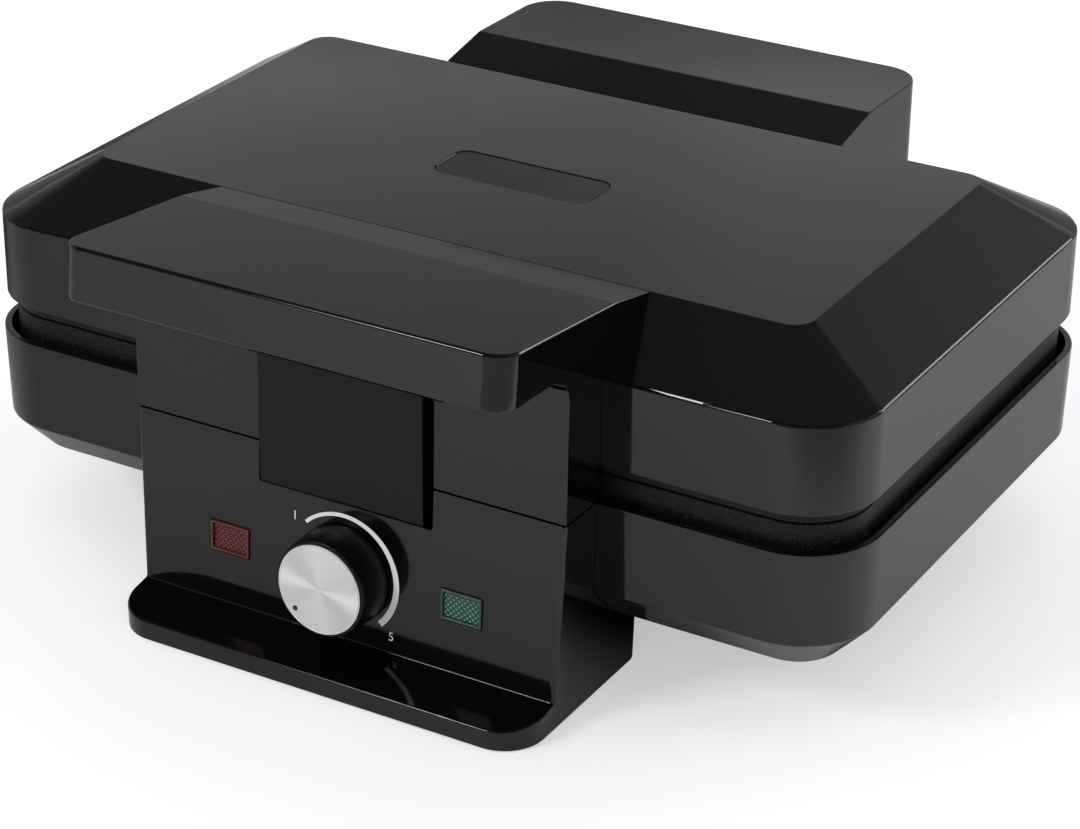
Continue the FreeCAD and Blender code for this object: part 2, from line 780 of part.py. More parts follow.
def rear_hood():
    """Hood behind the lid, open below, over the hinge."""
    piece = Piece("rear_hood")
    profile = [
        ("lid_y", "hood_base"),
        ("hood_y", "hood_base"),
        ("hood_y", "lid_top + hood_rise"),
        ("crown_y + hood_crest_run", "lid_top + hood_crest_rise"),
        ("crown_y", "lid_top"),
        ("lid_y", "lid_rim"),
    ]
    piece.pad("YZ", "-hood_x", "hood_x", profile)
    piece.fillet("hood_corner", upright_edge("hood_x", "hood_y"))
    round_inside = "hood_corner - shell"
    inside = [
        ("-(hood_x - shell)", "lid_y"),
        ("hood_x - shell", "lid_y"),
        ("hood_x - shell", "hood_y - shell", round_inside),
        ("-(hood_x - shell)", "hood_y - shell", round_inside),
    ]
    piece.pocket("XY", "hood_base", "lid_top + hood_rise - shell", inside)
    bosses = [Circle(x, "boss_z", "handle_boss / 2") for x in hood_boss_sides()]
    piece.pad("XZ", "lid_y", "lid_y + skirt_bone", *bosses)
    bores = [Circle(x, "boss_z", "screw / 2 + running_gap") for x in hood_boss_sides()]
    piece.pocket("XZ", "lid_y", "lid_y + skirt_bone", *bores)


def lower_housing():
    """Tray: wall with a little draft, sloped keel, plate posts and ribs, vents and wire holes."""
    piece = Piece("lower_housing")
    sections = (("tray_rim", "0"), ("tray_foot", "tray_draft"), ("tray_floor", "tray_draft + keel_inset"))
    piece.loft("Additive", *[(level, tray_outline(inset)) for level, inset in sections])
    lows = (("tray_rim", "shell"), ("tray_foot", "tray_draft + shell"))
    floor = ("tray_floor + shell", tray_outline("tray_draft + keel_inset + shell / 2"))
    piece.loft("Subtractive", *[(level, tray_outline(inset)) for level, inset in lows], floor)
    flange = "parting - half_parting - plate_wall"
    reflector = "parting - half_parting - plate_height - reflector_gap"
    piece.pad("XY", "tray_floor + shell / 2", flange, *post_circles("post_width / 2"))
    piece.pad("XY", "tray_floor + shell / 2", f"{reflector} - sheet", *post_circles("post_base / 2"))
    bores = post_circles("plate_screw / 2 + running_gap")
    piece.pocket("XY", flange, f"{flange} - plate_screw_length", *bores)
    plate_back = "parting - half_parting - plate_height"
    inside = "tray_draft - shell / 2"
    support_ribs(piece, f"tray_x - {inside}", f"tray_y - {inside}", "tray_foot", plate_back)
    holes = [Circle("wire_hole_side", f"{side}wire_hole_reach", "wire_hole / 2") for side in ("", "-")]
    piece.pocket("XY", "tray_floor", "tray_floor + shell * 2", *holes)
    first = "-(vent_count - 1) / 2 * vent_pitch"
    half = "vent_width / 2"
    slot = rectangle("-vent_length / 2", "vent_length / 2", f"{first} - {half}", f"{first} + {half}")
    vent = piece.pocket("XY", "tray_floor", "tray_floor + shell * 2", slot)
    piece.repeat(vent, vent.Profile[0], ("1", "vent_count"), ("vent_length", "vent_pitch"))


def cooking_plate(label, sign):
    """Cast plate: rim flange and skirt, two waffle cavities with rows of studs, recesses for two screws."""
    piece = Piece(label)

    def level(depth):
        return f"parting {sign} (half_parting + {depth})"

    outline = centred("plate_x", "plate_y", "lid_corner - plate_inset")
    piece.pad("XY", level("0"), level("plate_height"), outline)
    skirt = centred("plate_x - plate_wall", "plate_y - plate_wall", "lid_corner - plate_inset - plate_wall")
    piece.pocket("XY", level("plate_height"), level("plate_wall"), skirt)
    half_length = "cavity_length / 2"
    walls = []
    for middle in ("cavity_middle", "-(cavity_middle)"):
        reach = "(cavity_width / 2 + plate_wall)"
        depth = f"({half_length} + plate_wall)"
        sides = (f"{middle} - {reach}", f"{middle} + {reach}")
        walls.append(rectangle(*sides, f"-{depth}", depth, "cavity_corner"))
    piece.pad("XY", level("plate_wall"), level("plate_height"), *walls)
    half_base = "stud_base / 2"
    half_top = "stud_top / 2"
    pitch_x = "(cavity_width - 2 * cavity_draft) / stud_columns"
    pitch_y = "(cavity_length - 2 * cavity_draft) / stud_rows"
    for middle in ("cavity_middle", "-(cavity_middle)"):
        reach = "cavity_width / 2"
        mouth = rectangle(
            f"{middle} - {reach}", f"{middle} + {reach}", f"-{half_length}", half_length, "cavity_corner"
        )
        floor = rectangle(
            f"{middle} - {reach} + cavity_draft", f"{middle} + {reach} - cavity_draft",
            f"-{half_length} + cavity_draft", f"{half_length} - cavity_draft", "cavity_corner / 2",
        )
        piece.loft("Subtractive", (level("0"), mouth), (level("cavity_depth"), floor))
        x = f"{middle} - (stud_columns - 1) / 2 * {pitch_x}"
        y = f"-(stud_rows - 1) / 2 * {pitch_y}"
        foot, head = [
            rectangle(f"{x} - {half}", f"{x} + {half}", f"{y} - {half}", f"{y} + {half}")
            for half in (half_base, half_top)
        ]
        tip = level("cavity_depth - stud_height")
        stud = piece.loft("Additive", (level("cavity_depth"), foot), (tip, head))
        piece.repeat(stud, stud.Profile[0], ("stud_columns", "stud_rows"), (pitch_x, pitch_y))
    piece.pocket("XY", level("0"), level("plate_wall"), *post_circles("plate_screw / 2 + running_gap"))
    sinks = post_circles("plate_screw_head / 2 + fit_gap")
    piece.pocket("XY", level("0"), level("plate_screw_sink"), *sinks)


def plate_screws(label, sign):
    """Two screws that hold a cooking plate on its posts."""
    piece = Piece(label, many=True)
    top = f"parting {sign} half_parting"
    seat = f"{top} {sign} plate_screw_sink"
    piece.pad("XY", f"{top} {sign} fit_gap / 2", seat, *post_circles("plate_screw_head / 2"))
    end = f"{top} {sign} (plate_wall + plate_screw_length - screw_tip_gap)"
    piece.pad("XY", seat, end, *post_circles("plate_screw / 2"))


def element_level(sign):
    """Height of a heating element's axis, against the back of its plate."""
    return f"parting {sign} (half_parting + plate_height + element_radius + running_gap)"


def heating_element(label, sign):
    """Tubular element in one loop behind a plate, with its two terminal pins."""
    piece = Piece(label)
    axis = element_level(sign)
    path = [
        ("-element_ends", "element_tail"),
        ("-element_ends", "element_back", "element_bend / 2"),
        ("-element_side", "element_back", "element_bend"),
        ("-element_side", "-element_front", "element_bend"),
        ("element_side", "-element_front", "element_bend"),
        ("element_side", "element_back", "element_bend"),
        ("element_ends", "element_back", "element_bend / 2"),
        ("element_ends", "element_tail"),
    ]
    spine = piece.sketch("XY", axis, path, closed=False)
    section = piece.sketch("XZ", "element_tail", Circle("-element_ends", axis, "element_radius"))
    pipe = piece.body.newObject("PartDesign::AdditivePipe", f"{label}_pipe")
    pipe.Profile = section
    pipe.Spine = spine
    pins = [Circle(f"{side}element_ends", axis, "terminal_width / 2") for side in ("", "-")]
    piece.pad("XZ", "element_tail", "element_tail + terminal_length", *pins)


def element_clamps(label, sign):
    """Two sheet straps that hold the element against its plate."""
    piece = Piece(label, many=True)
    back = f"parting {sign} (half_parting + plate_height)"
    under = f"{element_level(sign)} {sign} (element_radius + running_gap)"
    outer = f"{under} {sign} sheet"
    flange = f"{back} {sign} sheet"
    half = "(element_radius + fit_gap)"
    wide = f"({half} + sheet)"
    reach = f"({wide} + clamp_flange)"
    y = "-element_front"
    profile = [
        (f"{y} - {reach}", back),
        (f"{y} - {half}", back),
        (f"{y} - {half}", under),
        (f"{y} + {half}", under),
        (f"{y} + {half}", back),
        (f"{y} + {reach}", back),
        (f"{y} + {reach}", flange),
        (f"{y} + {wide}", flange),
        (f"{y} + {wide}", outer),
        (f"{y} - {wide}", outer),
        (f"{y} - {wide}", flange),
        (f"{y} - {reach}", flange),
    ]
    for middle in ("clamp_side", "-clamp_side"):
        piece.pad("YZ", f"{middle} - clamp_width / 2", f"{middle} + clamp_width / 2", profile)


def heat_reflector(label, sign):
    """Sheet dish behind an element, seated on the shoulders of the plate posts."""
    piece = Piece(label)
    face = f"parting {sign} (half_parting + plate_height + reflector_gap)"
    rim = f"parting {sign} (half_parting + plate_height + reflector_gap - reflector_rim)"
    x = "plate_x - reflector_inset"
    y = "plate_y - reflector_inset"
    piece.pad("XY", f"{face} {sign} sheet", rim, centred(x, y, "reflector_corner"))
    piece.pocket("XY", rim, face, centred(f"{x} - sheet", f"{y} - sheet", "reflector_corner - sheet"))
    piece.pocket("XY", f"{face} {sign} sheet", face, *post_circles("post_width / 2 + fit_gap"))


def thermal_cutout():
    """Over-temperature cut-out under the lower reflector, with its mounting ears."""
    piece = Piece("thermal_cutout")
    top = "parting - half_parting - plate_height - reflector_gap - sheet"
    piece.pad("XY", f"{top} - cutout_height", top, Circle("cutout_side", "cutout_back", "cutout_width / 2"))
    ears = rectangle(
        "cutout_side - cutout_width", "cutout_side + cutout_width", "cutout_back - cutout_width / 4",
        "cutout_back + cutout_width / 4", "cutout_width / 5",
    )
    piece.pad("XY", f"{top} - sheet", top, ears)


def tray_profile():
    """Side line of the tray's wall and keel, from the rim down to the floor, towards the front."""
    return [("-tray_y", "tray_rim"), ("-(tray_y - tray_draft)", "tray_foot"), ("-keel_y", "tray_floor")]


def panel_y(height):
    """Depth of the control panel's face at a height."""
    return f"panel_top_y - (split - ({height})) * panel_slope"


def foot_lip(piece):
    """Lip in front of the panel, flush with the cheeks, with a top that falls towards its front."""

    def plan(half):
        return [
            (minus(half), "foot_front", "foot_corner"),
            (half, "foot_front", "foot_corner"),
            (half, "lip_back"),
            (minus(half), "lip_back"),
        ]

    crest = "foot_top + shell"
    flush = f"stand_base_x + stand_taper * ({crest} - floor_gap) / (split - floor_gap)"
    piece.loft("Additive", ("floor_gap", plan("stand_base_x")), (crest, plan(flush)))
    wedge = [
        ("foot_front - shell", "lip_top - shell * lip_slope"),
        ("lip_back + shell", "lip_top + (lip_back + shell - foot_front) * lip_slope"),
        ("lip_back + shell", f"{crest} + shell"),
        ("foot_front - shell", f"{crest} + shell"),
    ]
    piece.pocket("YZ", "-stand_x - shell", "stand_x + shell", wedge)
    front = number("foot_front")
    back = number("lip_back")
    low = number("lip_top")
    slope = number("lip_slope")

    def rim(edge):
        on_top = all(near(spot.Z, low + (spot.Y - front) * slope) for spot in edge.Vertexes)
        return on_top and edge.BoundBox.YMin < back - 0.01

    piece.fillet("foot_round", rim)


def front_stand():
    """Stand with the leaning control panel, tapered cheeks, foot lip, latch recess and lamp windows."""
    piece = Piece("front_stand")

    def plan(half, front):
        return [
            (f"-({half})", front, "stand_edge"),
            (half, front, "stand_edge"),
            (half, "-stand_back", "stand_back_corner"),
            (f"-({half})", "-stand_back", "stand_back_corner"),
        ]

    foot_lip(piece)
    upper = ("split", plan("stand_x", "panel_top_y"))
    piece.loft("Additive", upper, ("floor_gap", plan("stand_base_x", "panel_base_y")))
    past = "split + shell"
    tray = [("-tray_y", past)] + tray_profile() + [("0", "tray_floor"), ("0", past)]
    piece.pocket("YZ", "-stand_x - shell", "stand_x + shell", tray)
    under = "floor_gap - shell"
    hollow = [
        (f"{panel_y(under)} + shell", under),
        (f"{panel_y('split - shell')} + shell", "split - shell"),
        ("-tray_y + shell", "split - shell"),
        ("-tray_y + shell", "tray_foot"),
        ("-stand_back - shell", "tray_floor + shell"),
        ("-stand_back - shell", under),
    ]
    piece.pocket("YZ", "-(hollow_x)", "hollow_x", hollow)
    pocket_x = "latch_width / 2"
    pocket_back = "recess_y + shell"
    block = [
        ("panel_top_y + shell / 2", "split"),
        (pocket_back, "split"),
        (pocket_back, "latch_recess_floor - shell"),
        ("panel_top_y + shell / 2", "latch_recess_floor - shell"),
    ]
    piece.pad("YZ", f"-({pocket_x} + shell)", f"{pocket_x} + shell", block)
    recess = rectangle(f"-{pocket_x}", pocket_x, "latch_recess_floor", past)
    piece.pocket("XZ", "foot_front", "recess_y", recess)
    posts = front_posts()
    piece.pad("XY", "cover_top", "cover_top + cover_post_height", *posts("cover_post / 2"))
    piece.pocket("XY", "cover_top", "cover_top + screw_length", *posts("screw / 2 + running_gap"))
    deep = "-2 * shell"
    windows = [
        rectangle(
            f"{side}lamp_side - lens_width / 2 - lens_gap", f"{side}lamp_side + lens_width / 2 + lens_gap",
            "-lens_height / 2 - lens_gap", "lens_height / 2 + lens_gap",
        )
        for side in ("", "-")
    ]
    piece.pocket("panel", "shell", deep, *windows)
    piece.pocket("panel", "shell", deep, Circle("0", "0", "spindle_hole / 2"))
    piece.pocket("panel", "shell", deep, *thermostat_screw_circles("screw / 2 + fit_gap"))
    heads = thermostat_screw_circles("screw_head / 2 + fit_gap")
    piece.pocket("panel", "shell", "-screw_head_height - fit_gap", *heads)
    piece.pocket("XY", "floor_gap", "floor_gap + foot_pad_sink", *pad_seats("foot_pad_front"))


def pad_seats(depth):
    """Seats of the two rubber pads at a depth."""
    return [Circle(f"{side}(foot_pad_side)", depth, "foot_pad / 2 + fit_gap") for side in ("", "-")]


def thermostat_screw_circles(radius):
    """The two screws of the thermostat, left and right of its spindle."""
    return Circle("thermostat_screw_side", "0", radius), Circle("-thermostat_screw_side", "0", radius)


def cover_posts(x, *depths):
    """Places of the four screws of a base cover, as circles of any radius."""

    def circles(radius):
        return [Circle(f"{side}({x})", y, radius) for side in ("", "-") for y in depths]

    return circles


def front_posts():
    """Screw places of the front base cover."""
    return cover_posts("front_post_x", "front_post_y", "front_post_back")


def rear_posts():
    """Screw places of the rear base cover."""
    return cover_posts("rear_post_x", "rear_post_front", "rear_post_y")


def base_cover(label, outline, posts, pads=()):
    """Flat cover that closes a stand from below, with sunk screw holes."""
    piece = Piece(label)
    piece.pad("XY", "floor_gap", "cover_top", outline)
    piece.pocket("XY", "floor_gap", "cover_top", *posts("screw / 2 + fit_gap"))
    sink = "floor_gap + screw_head_height + fit_gap"
    piece.pocket("XY", "floor_gap", sink, *posts("screw_head / 2 + fit_gap"))
    if pads:
        piece.pocket("XY", "floor_gap", "floor_gap + foot_pad_sink", *pads)


def base_covers():
    """Covers of the front and the rear stand."""
    gap = "shell + fit_gap"
    front = rectangle(
        "-(hollow_x) + fit_gap", "hollow_x - fit_gap", f"panel_base_y + {gap}", f"-stand_back - ({gap})"
    )
    base_cover("front_base_cover", front, front_posts())
    rear = rectangle(
        "-rear_hollow_x + fit_gap", "rear_hollow_x - fit_gap", f"stand_back + {gap}", f"rear_y - ({gap})"
    )
    base_cover("rear_base_cover", rear, rear_posts(), pad_seats("foot_pad_back"))


def base_screws():
    """Screws of both base covers."""
    piece = Piece("base_screws", many=True)
    pairs = (front_posts(), rear_posts())
    head_top = "floor_gap + fit_gap + screw_head_height"
    for posts in pairs:
        piece.pad("XY", "floor_gap + fit_gap", head_top, *posts("screw_head / 2"))
        piece.pad("XY", head_top, "cover_top + screw_length - screw_tip_gap", *posts("screw / 2"))


def rubber_feet():
    """Four rubber pads under the foot lip and the rear cover."""
    piece = Piece("rubber_feet", many=True)
    pads = [
        Circle(f"{side}(foot_pad_side)", y, "foot_pad / 2")
        for side in ("", "-") for y in ("foot_pad_front", "foot_pad_back")
    ]
    piece.pad("XY", "0", "floor_gap + foot_pad_sink", *pads)
    piece.fillet("foot_pad_round", level_edge("0"))


def rear_stand():
    """Stand under the hinge: hollow box with two ears for the hinge pin and the hole of the cord gland."""
    piece = Piece("rear_stand")
    tray = [(minus(y), z) for y, z in tray_profile()]
    tray[0] = (tray_wall_y("rear_deck"), "rear_deck")
    profile = [
        ("stand_back", "floor_gap"),
        ("rear_y", "floor_gap"),
        ("rear_y", "rear_shoulder"),
        ("hinge_y + ear_radius / 2", "rear_deck"),
    ] + tray + [("stand_back", "tray_floor")]
    piece.pad("YZ", "-rear_x", "rear_x", profile)
    piece.fillet("rear_corner", upright_edge("rear_x", "rear_y"))
    under = "floor_gap - shell"
    hollow = [
        ("stand_back + shell", under),
        ("rear_y - shell", under),
        ("rear_y - shell", "rear_shoulder - shell"),
        ("hinge_y + ear_radius / 2 - shell", "rear_deck - shell"),
        ("tray_y - shell", "rear_deck - shell"),
        ("tray_y - shell", "tray_foot"),
        ("stand_back + shell", "tray_floor + shell"),
    ]
    piece.pocket("YZ", "-rear_hollow_x", "rear_hollow_x", hollow)
    ear_round = "ear_radius - round_spare"
    ear = [
        ("hinge_y - ear_radius", "rear_deck - shell / 2"),
        ("hinge_y + ear_radius / 2 - shell / 2", "rear_deck - shell / 2"),
        ("hinge_y + ear_radius", "hinge_z - ear_radius / 3"),
        ("hinge_y + ear_radius", "hinge_z + ear_radius", ear_round),
        ("hinge_y - ear_radius", "hinge_z + ear_radius", ear_round),
    ]
    bore = "pin_radius + running_gap / 2"
    for side in ("", "-"):
        piece.pad("YZ", f"{side}ear_inner", f"{side}ear_outer", ear)
    piece.pocket("YZ", "-ear_outer", "ear_outer", Circle("hinge_y", "hinge_z", bore))
    posts = rear_posts()
    piece.pad("XY", "cover_top", "cover_top + cover_post_height", *posts("cover_post / 2"))
    piece.pocket("XY", "cover_top", "cover_top + screw_length", *posts("screw / 2 + running_gap"))
    gland = Circle("gland_side", "gland_height", "gland_neck / 2 + fit_gap")
    piece.pocket("XZ", "rear_y", "rear_y - shell", gland)


def tray_wall_y(height):
    """Depth of the tray's rear wall at a height, with its draft."""
    return f"tray_y - tray_draft * (tray_rim - {height}) / tray_side"


def hinge_arms():
    """Two arms bolted to the lid's rear wall, each with a knuckle on the hinge pin."""
    piece = Piece("hinge_arms", many=True)
    knuckle = "arm_radius - round_spare"
    profile = [
        ("lid_y", "lid_base + shell"),
        ("hinge_y - arm_radius", "hinge_z - arm_radius", knuckle),
        ("hinge_y + arm_radius", "hinge_z - arm_radius", knuckle),
        ("hinge_y + arm_radius", "hinge_z + arm_radius", knuckle),
        ("hinge_y - arm_radius / 2", "hinge_z + arm_radius", "arm_radius"),
        ("lid_y + arm_flange", "arm_top - arm_flange * 2"),
        ("lid_y + arm_flange", "arm_top"),
        ("lid_y", "arm_top"),
    ]
    for side in ("", "-"):
        piece.pad("YZ", f"{side}arm_inner", f"{side}arm_outer", profile)
    piece.pocket("YZ", "-arm_outer", "arm_outer", Circle("hinge_y", "hinge_z", "pin_radius + running_gap"))
    bores = [Circle(x, "boss_z", "screw / 2 + running_gap") for x in arm_screw_sides()]
    piece.pocket("XZ", "lid_y", "lid_y + hinge_reach", *bores)


def hinge_pin():
    """Steel pin of the lid hinge."""
    piece = Piece("hinge_pin")
    half = "ear_outer + hinge_pin_overhang"
    piece.pad("YZ", minus(half), half, Circle("hinge_y", "hinge_z", "pin_radius"))


def pin_ring(width):
    """Outline and bore of a ring on the hinge pin."""
    bore = Circle("hinge_y", "hinge_z", "pin_radius + running_gap / 2")
    return Circle("hinge_y", "hinge_z", f"{width} / 2"), bore


def hinge_washers():
    """Washers between the ears and the arms."""
    piece = Piece("hinge_washers", many=True)
    for side in ("", "-"):
        piece.pad("YZ", f"{side}(arm_outer + fit_gap)", f"{side}ear_inner", *pin_ring("washer_width"))


def hinge_clips():
    """Retaining clips at the ends of the hinge pin."""
    piece = Piece("hinge_clips", many=True)
    for side in ("", "-"):
        piece.pad("YZ", f"{side}ear_outer", f"{side}(ear_outer + clip_sheet)", *pin_ring("clip_width"))


def wall_screws(label, wall, sides):
    """Screws that pass through a wall of the lid from inside, into the piece that they hold."""
    piece = Piece(label, many=True)
    sign = "-" if number(wall) < 0 else "+"
    inward = "+" if sign == "-" else "-"
    inner = f"{wall} {inward} shell"
    head = f"{inner} {inward} screw_head_height * 2"
    tip = f"{inner} {sign} (screw_length - screw_tip_gap)"
    piece.pad("XZ", head, inner, *[Circle(x, "boss_z", "screw_head / 2") for x in sides])
    piece.pad("XZ", inner, tip, *[Circle(x, "boss_z", "screw / 2") for x in sides])


def knob_body():
    """Moulded knob, turned about its axis: tapered barrel, dished face, bore for the spindle."""
    piece = Piece("knob_body", on_panel=True)
    back = "knob_stand_off"
    face = "knob_stand_off + knob_depth"
    bore = "spindle_width / 2 + running_gap / 2"
    dish = "disc_width / 2 + running_gap"
    half_section = [
        (bore, back),
        ("knob_width / 2", back),
        ("knob_nose / 2", face, "knob_round"),
        (dish, face),
        (dish, "disc_back"),
        ("0", "disc_back"),
        ("0", "disc_back - shell"),
        (bore, "disc_back - shell"),
    ]
    piece.revolve(half_section)


def spindle_circle(gap="0"):
    """Round spindle section, with its radius let out by a gap."""
    return Circle("0", "0", f"spindle_width / 2 + {gap}")


def knob_disc():
    """Spun aluminium disc in the knob's face."""
    piece = Piece("knob_disc", on_panel=True)
    piece.pad("XY", "disc_back", "disc_back + disc_sheet", Circle("0", "0", "disc_width / 2"))


def thermostat_spindle():
    """Spindle from the thermostat through the panel into the knob."""
    piece = Piece("thermostat_spindle", on_panel=True)
    piece.pad("XY", "-spindle_in", "disc_back - shell - fit_gap", spindle_circle())


def thermostat_bracket():
    """Steel plate between the panel and the thermostat."""
    piece = Piece("thermostat_bracket", on_panel=True)
    outline = centred("bracket_width / 2", "bracket_height / 2", "stand_edge")
    piece.pad("XY", "-shell", "-shell - sheet", outline)
    piece.pocket("XY", "-shell", "-shell - sheet", Circle("0", "0", "spindle_hole / 2"))
    piece.pocket("XY", "-shell", "-shell - sheet", *thermostat_screw_circles("screw / 2 + fit_gap"))


def thermostat_body():
    """Thermostat: switch block, ceramic base and two side tabs."""
    piece = Piece("thermostat_body", on_panel=True)
    front = "-shell - sheet"
    middle = f"{front} - thermostat_depth"
    piece.pad("XY", front, middle, centred("thermostat_width / 2", "thermostat_height / 2", "stand_edge"))
    base = centred("thermostat_width / 2 - shell", "thermostat_height / 2 - shell", "stand_edge")
    piece.pad("XY", middle, f"{middle} - thermostat_base", base)
    tabs = centred("thermostat_width / 2 + tab_length", "tab_width / 2")
    piece.pad("XY", f"{middle} + sheet", middle, tabs)
    piece.pocket("XY", front, "-spindle_in - fit_gap", spindle_circle("running_gap"))
    piece.pocket("XY", front, f"{middle} + sheet", *thermostat_screw_circles("screw / 2 + running_gap"))


def thermostat_screws():
    """Two sunk screws behind the knob that hold the thermostat."""
    piece = Piece("thermostat_screws", on_panel=True, many=True)
    seat = "-screw_head_height - fit_gap"
    piece.pad("XY", "-fit_gap", seat, *thermostat_screw_circles("screw_head / 2"))
    piece.pad("XY", seat, "-shell - sheet - thermostat_depth / 2", *thermostat_screw_circles("screw / 2"))


def lamp_lens(label, side):
    """Lens of one pilot lamp, with a flange behind the panel and a socket for the neon."""
    piece = Piece(label, on_panel=True)

    def block(grow):
        reach = f"(lens_width / 2 + {grow})"
        height = f"lens_height / 2 + {grow}"
        return rectangle(f"{side}lamp_side - {reach}", f"{side}lamp_side + {reach}", f"-({height})", height)

    piece.pad("XY", "lens_proud", "-shell", block("0"))
    piece.pad("XY", "-shell", "-shell - lens_flange_sheet", block("lens_flange"))
    socket = Circle(f"{side}lamp_side", "0", "neon_width / 2 + running_gap")
    piece.pocket("XY", "-shell - lens_flange_sheet", "-shell + lens_flange_sheet", socket)


def neon_lamps():
    """Two neon bulbs in the sockets of the lenses."""
    piece = Piece("neon_lamps", on_panel=True, many=True)
    bulbs = [Circle(f"{side}lamp_side", "0", "neon_width / 2") for side in ("", "-")]
    tip = "-shell + lens_flange_sheet - fit_gap"
    piece.pad("XY", tip, f"{tip} - neon_length", *bulbs)


def cord_gland():
    """Empty gland in the rear wall, for the mains cord."""
    piece = Piece("cord_gland")
    middle = ("gland_side", "gland_height")
    outside = "rear_y + gland_sheet"
    inside = "rear_y - shell - gland_sheet"
    piece.pad("XZ", outside, "rear_y", Circle(*middle, "gland_flange / 2"))
    piece.pad("XZ", "rear_y", inside, Circle(*middle, "gland_neck / 2"))
    piece.pocket("XZ", outside, inside, Circle(*middle, "gland_bore / 2"))


def terminal_block():
    """Ceramic terminal block on the rear cover, with three wire bores."""
    piece = Piece("terminal_block")
    x = "-block_side"
    outline = rectangle(
        f"{x} - block_width / 2", f"{x} + block_width / 2", "block_back - block_depth / 2",
        "block_back + block_depth / 2", "stand_edge",
    )
    piece.pad("XY", "cover_top", "cover_top + block_height", outline)
    height = "cover_top + block_height / 2"
    places = [f"{x} + {step} * block_width / 3" for step in ("-1", "0", "1")]
    bores = [Circle(place, height, "block_bore / 2") for place in places]
    piece.pocket("XZ", "block_back - block_depth / 2", "block_back + block_depth / 2", *bores)


def build():
    """Make every piece."""
    upper_housing()
    badge_plate()
    front_handle()
    rear_hood()
    latch_flap()
    latch_pin()
    catch_plate()
    lower_housing()
    for half, sign in (("lower", "-"), ("upper", "+")):
        cooking_plate(f"{half}_cooking_plate", sign)
        plate_screws(f"{half}_plate_screws", sign)
        heating_element(f"{half}_heating_element", sign)
        element_clamps(f"{half}_element_clamps", sign)
        heat_reflector(f"{half}_heat_reflector", sign)
    thermal_cutout()
    front_stand()
    rear_stand()
    base_covers()
    base_screws()
    rubber_feet()
    hinge_arms()
    hinge_pin()
    hinge_washers()
    hinge_clips()
    wall_screws("handle_screws", "-lid_y", handle_boss_sides())
    wall_screws("hood_screws", "lid_y", hood_boss_sides())
    wall_screws("hinge_arm_screws", "lid_y", arm_screw_sides())
    knob_body()
    knob_disc()
    thermostat_spindle()
    thermostat_bracket()
    thermostat_body()
    thermostat_screws()
    lamp_lens("red_lamp_lens", "-")
    lamp_lens("green_lamp_lens", "")
    neon_lamps()
    cord_gland()
    terminal_block()
    doc.recompute()


def check():
    """Stop if an object failed, a cut removed nothing or a shape is bad."""
    for thing in doc.Objects:
        if {"Invalid", "Error"} & set(thing.State):
            raise RuntimeError(f"{thing.Label} failed: {thing.State}")
        if thing.TypeId in ("PartDesign::Pocket", "PartDesign::SubtractiveLoft"):
            if thing.Shape.Volume > thing.BaseFeature.Shape.Volume - 1e-6:
                raise RuntimeError(f"{thing.Label} cuts nothing")
    for body in pieces:
        if body.Shape.isNull() or not body.Shape.isValid():
            raise RuntimeError(f"{body.Label} has a bad shape")


def write():
    """Write each piece to its own file."""
    os.makedirs("parts", exist_ok=True)
    for body in pieces:
        body.Shape.exportStep(os.path.join("parts", f"{body.Label}.step"))


build()
check()
write()
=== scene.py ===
"""Looks of a waffle maker for two waffles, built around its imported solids.

All lengths are metres in the object's frame: +X to the right, +Y to the rear, +Z up.
"""

from __future__ import annotations

import json
import logging
import math
from contextlib import contextmanager
from dataclasses import dataclass
from enum import Enum
from typing import Any, Callable, Iterator, Sequence

import bmesh
import bpy
from mathutils import Matrix, Vector

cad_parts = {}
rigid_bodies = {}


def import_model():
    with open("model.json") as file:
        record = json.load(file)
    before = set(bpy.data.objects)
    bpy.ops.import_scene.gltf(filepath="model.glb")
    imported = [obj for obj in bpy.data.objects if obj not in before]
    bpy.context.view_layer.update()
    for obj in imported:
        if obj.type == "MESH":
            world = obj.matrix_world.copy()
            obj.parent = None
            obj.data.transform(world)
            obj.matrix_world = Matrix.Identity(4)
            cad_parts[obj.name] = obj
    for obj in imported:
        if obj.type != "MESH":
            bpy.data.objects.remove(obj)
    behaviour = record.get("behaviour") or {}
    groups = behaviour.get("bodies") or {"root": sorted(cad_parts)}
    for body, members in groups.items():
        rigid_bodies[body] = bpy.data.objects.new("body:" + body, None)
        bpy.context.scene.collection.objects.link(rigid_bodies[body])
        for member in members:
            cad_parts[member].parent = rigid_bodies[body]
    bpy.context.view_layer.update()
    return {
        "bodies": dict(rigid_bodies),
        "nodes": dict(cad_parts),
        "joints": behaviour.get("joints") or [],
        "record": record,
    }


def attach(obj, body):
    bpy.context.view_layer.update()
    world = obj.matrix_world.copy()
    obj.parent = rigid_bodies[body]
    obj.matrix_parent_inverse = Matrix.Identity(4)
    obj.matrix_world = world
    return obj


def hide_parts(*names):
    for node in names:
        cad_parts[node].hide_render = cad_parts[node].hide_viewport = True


LOG = logging.getLogger("waffle_maker")
MM = 0.001
NOISE_MIDDLE = (0.3, 0.7)
SMOOTH_ANGLE = 42.0
FACING = 0.9
PANEL_LEAN = 2.93
PANEL_MIDDLE = (0.0, -117.597 * MM, 35.5 * MM)
LAMP_SIDE = 46.0 * MM

Colour = tuple[float, float, float, float]
Point = tuple[float, float, float]
Stops = tuple[tuple[float, float], ...]
WHITE: Colour = (1.0, 1.0, 1.0, 1.0)


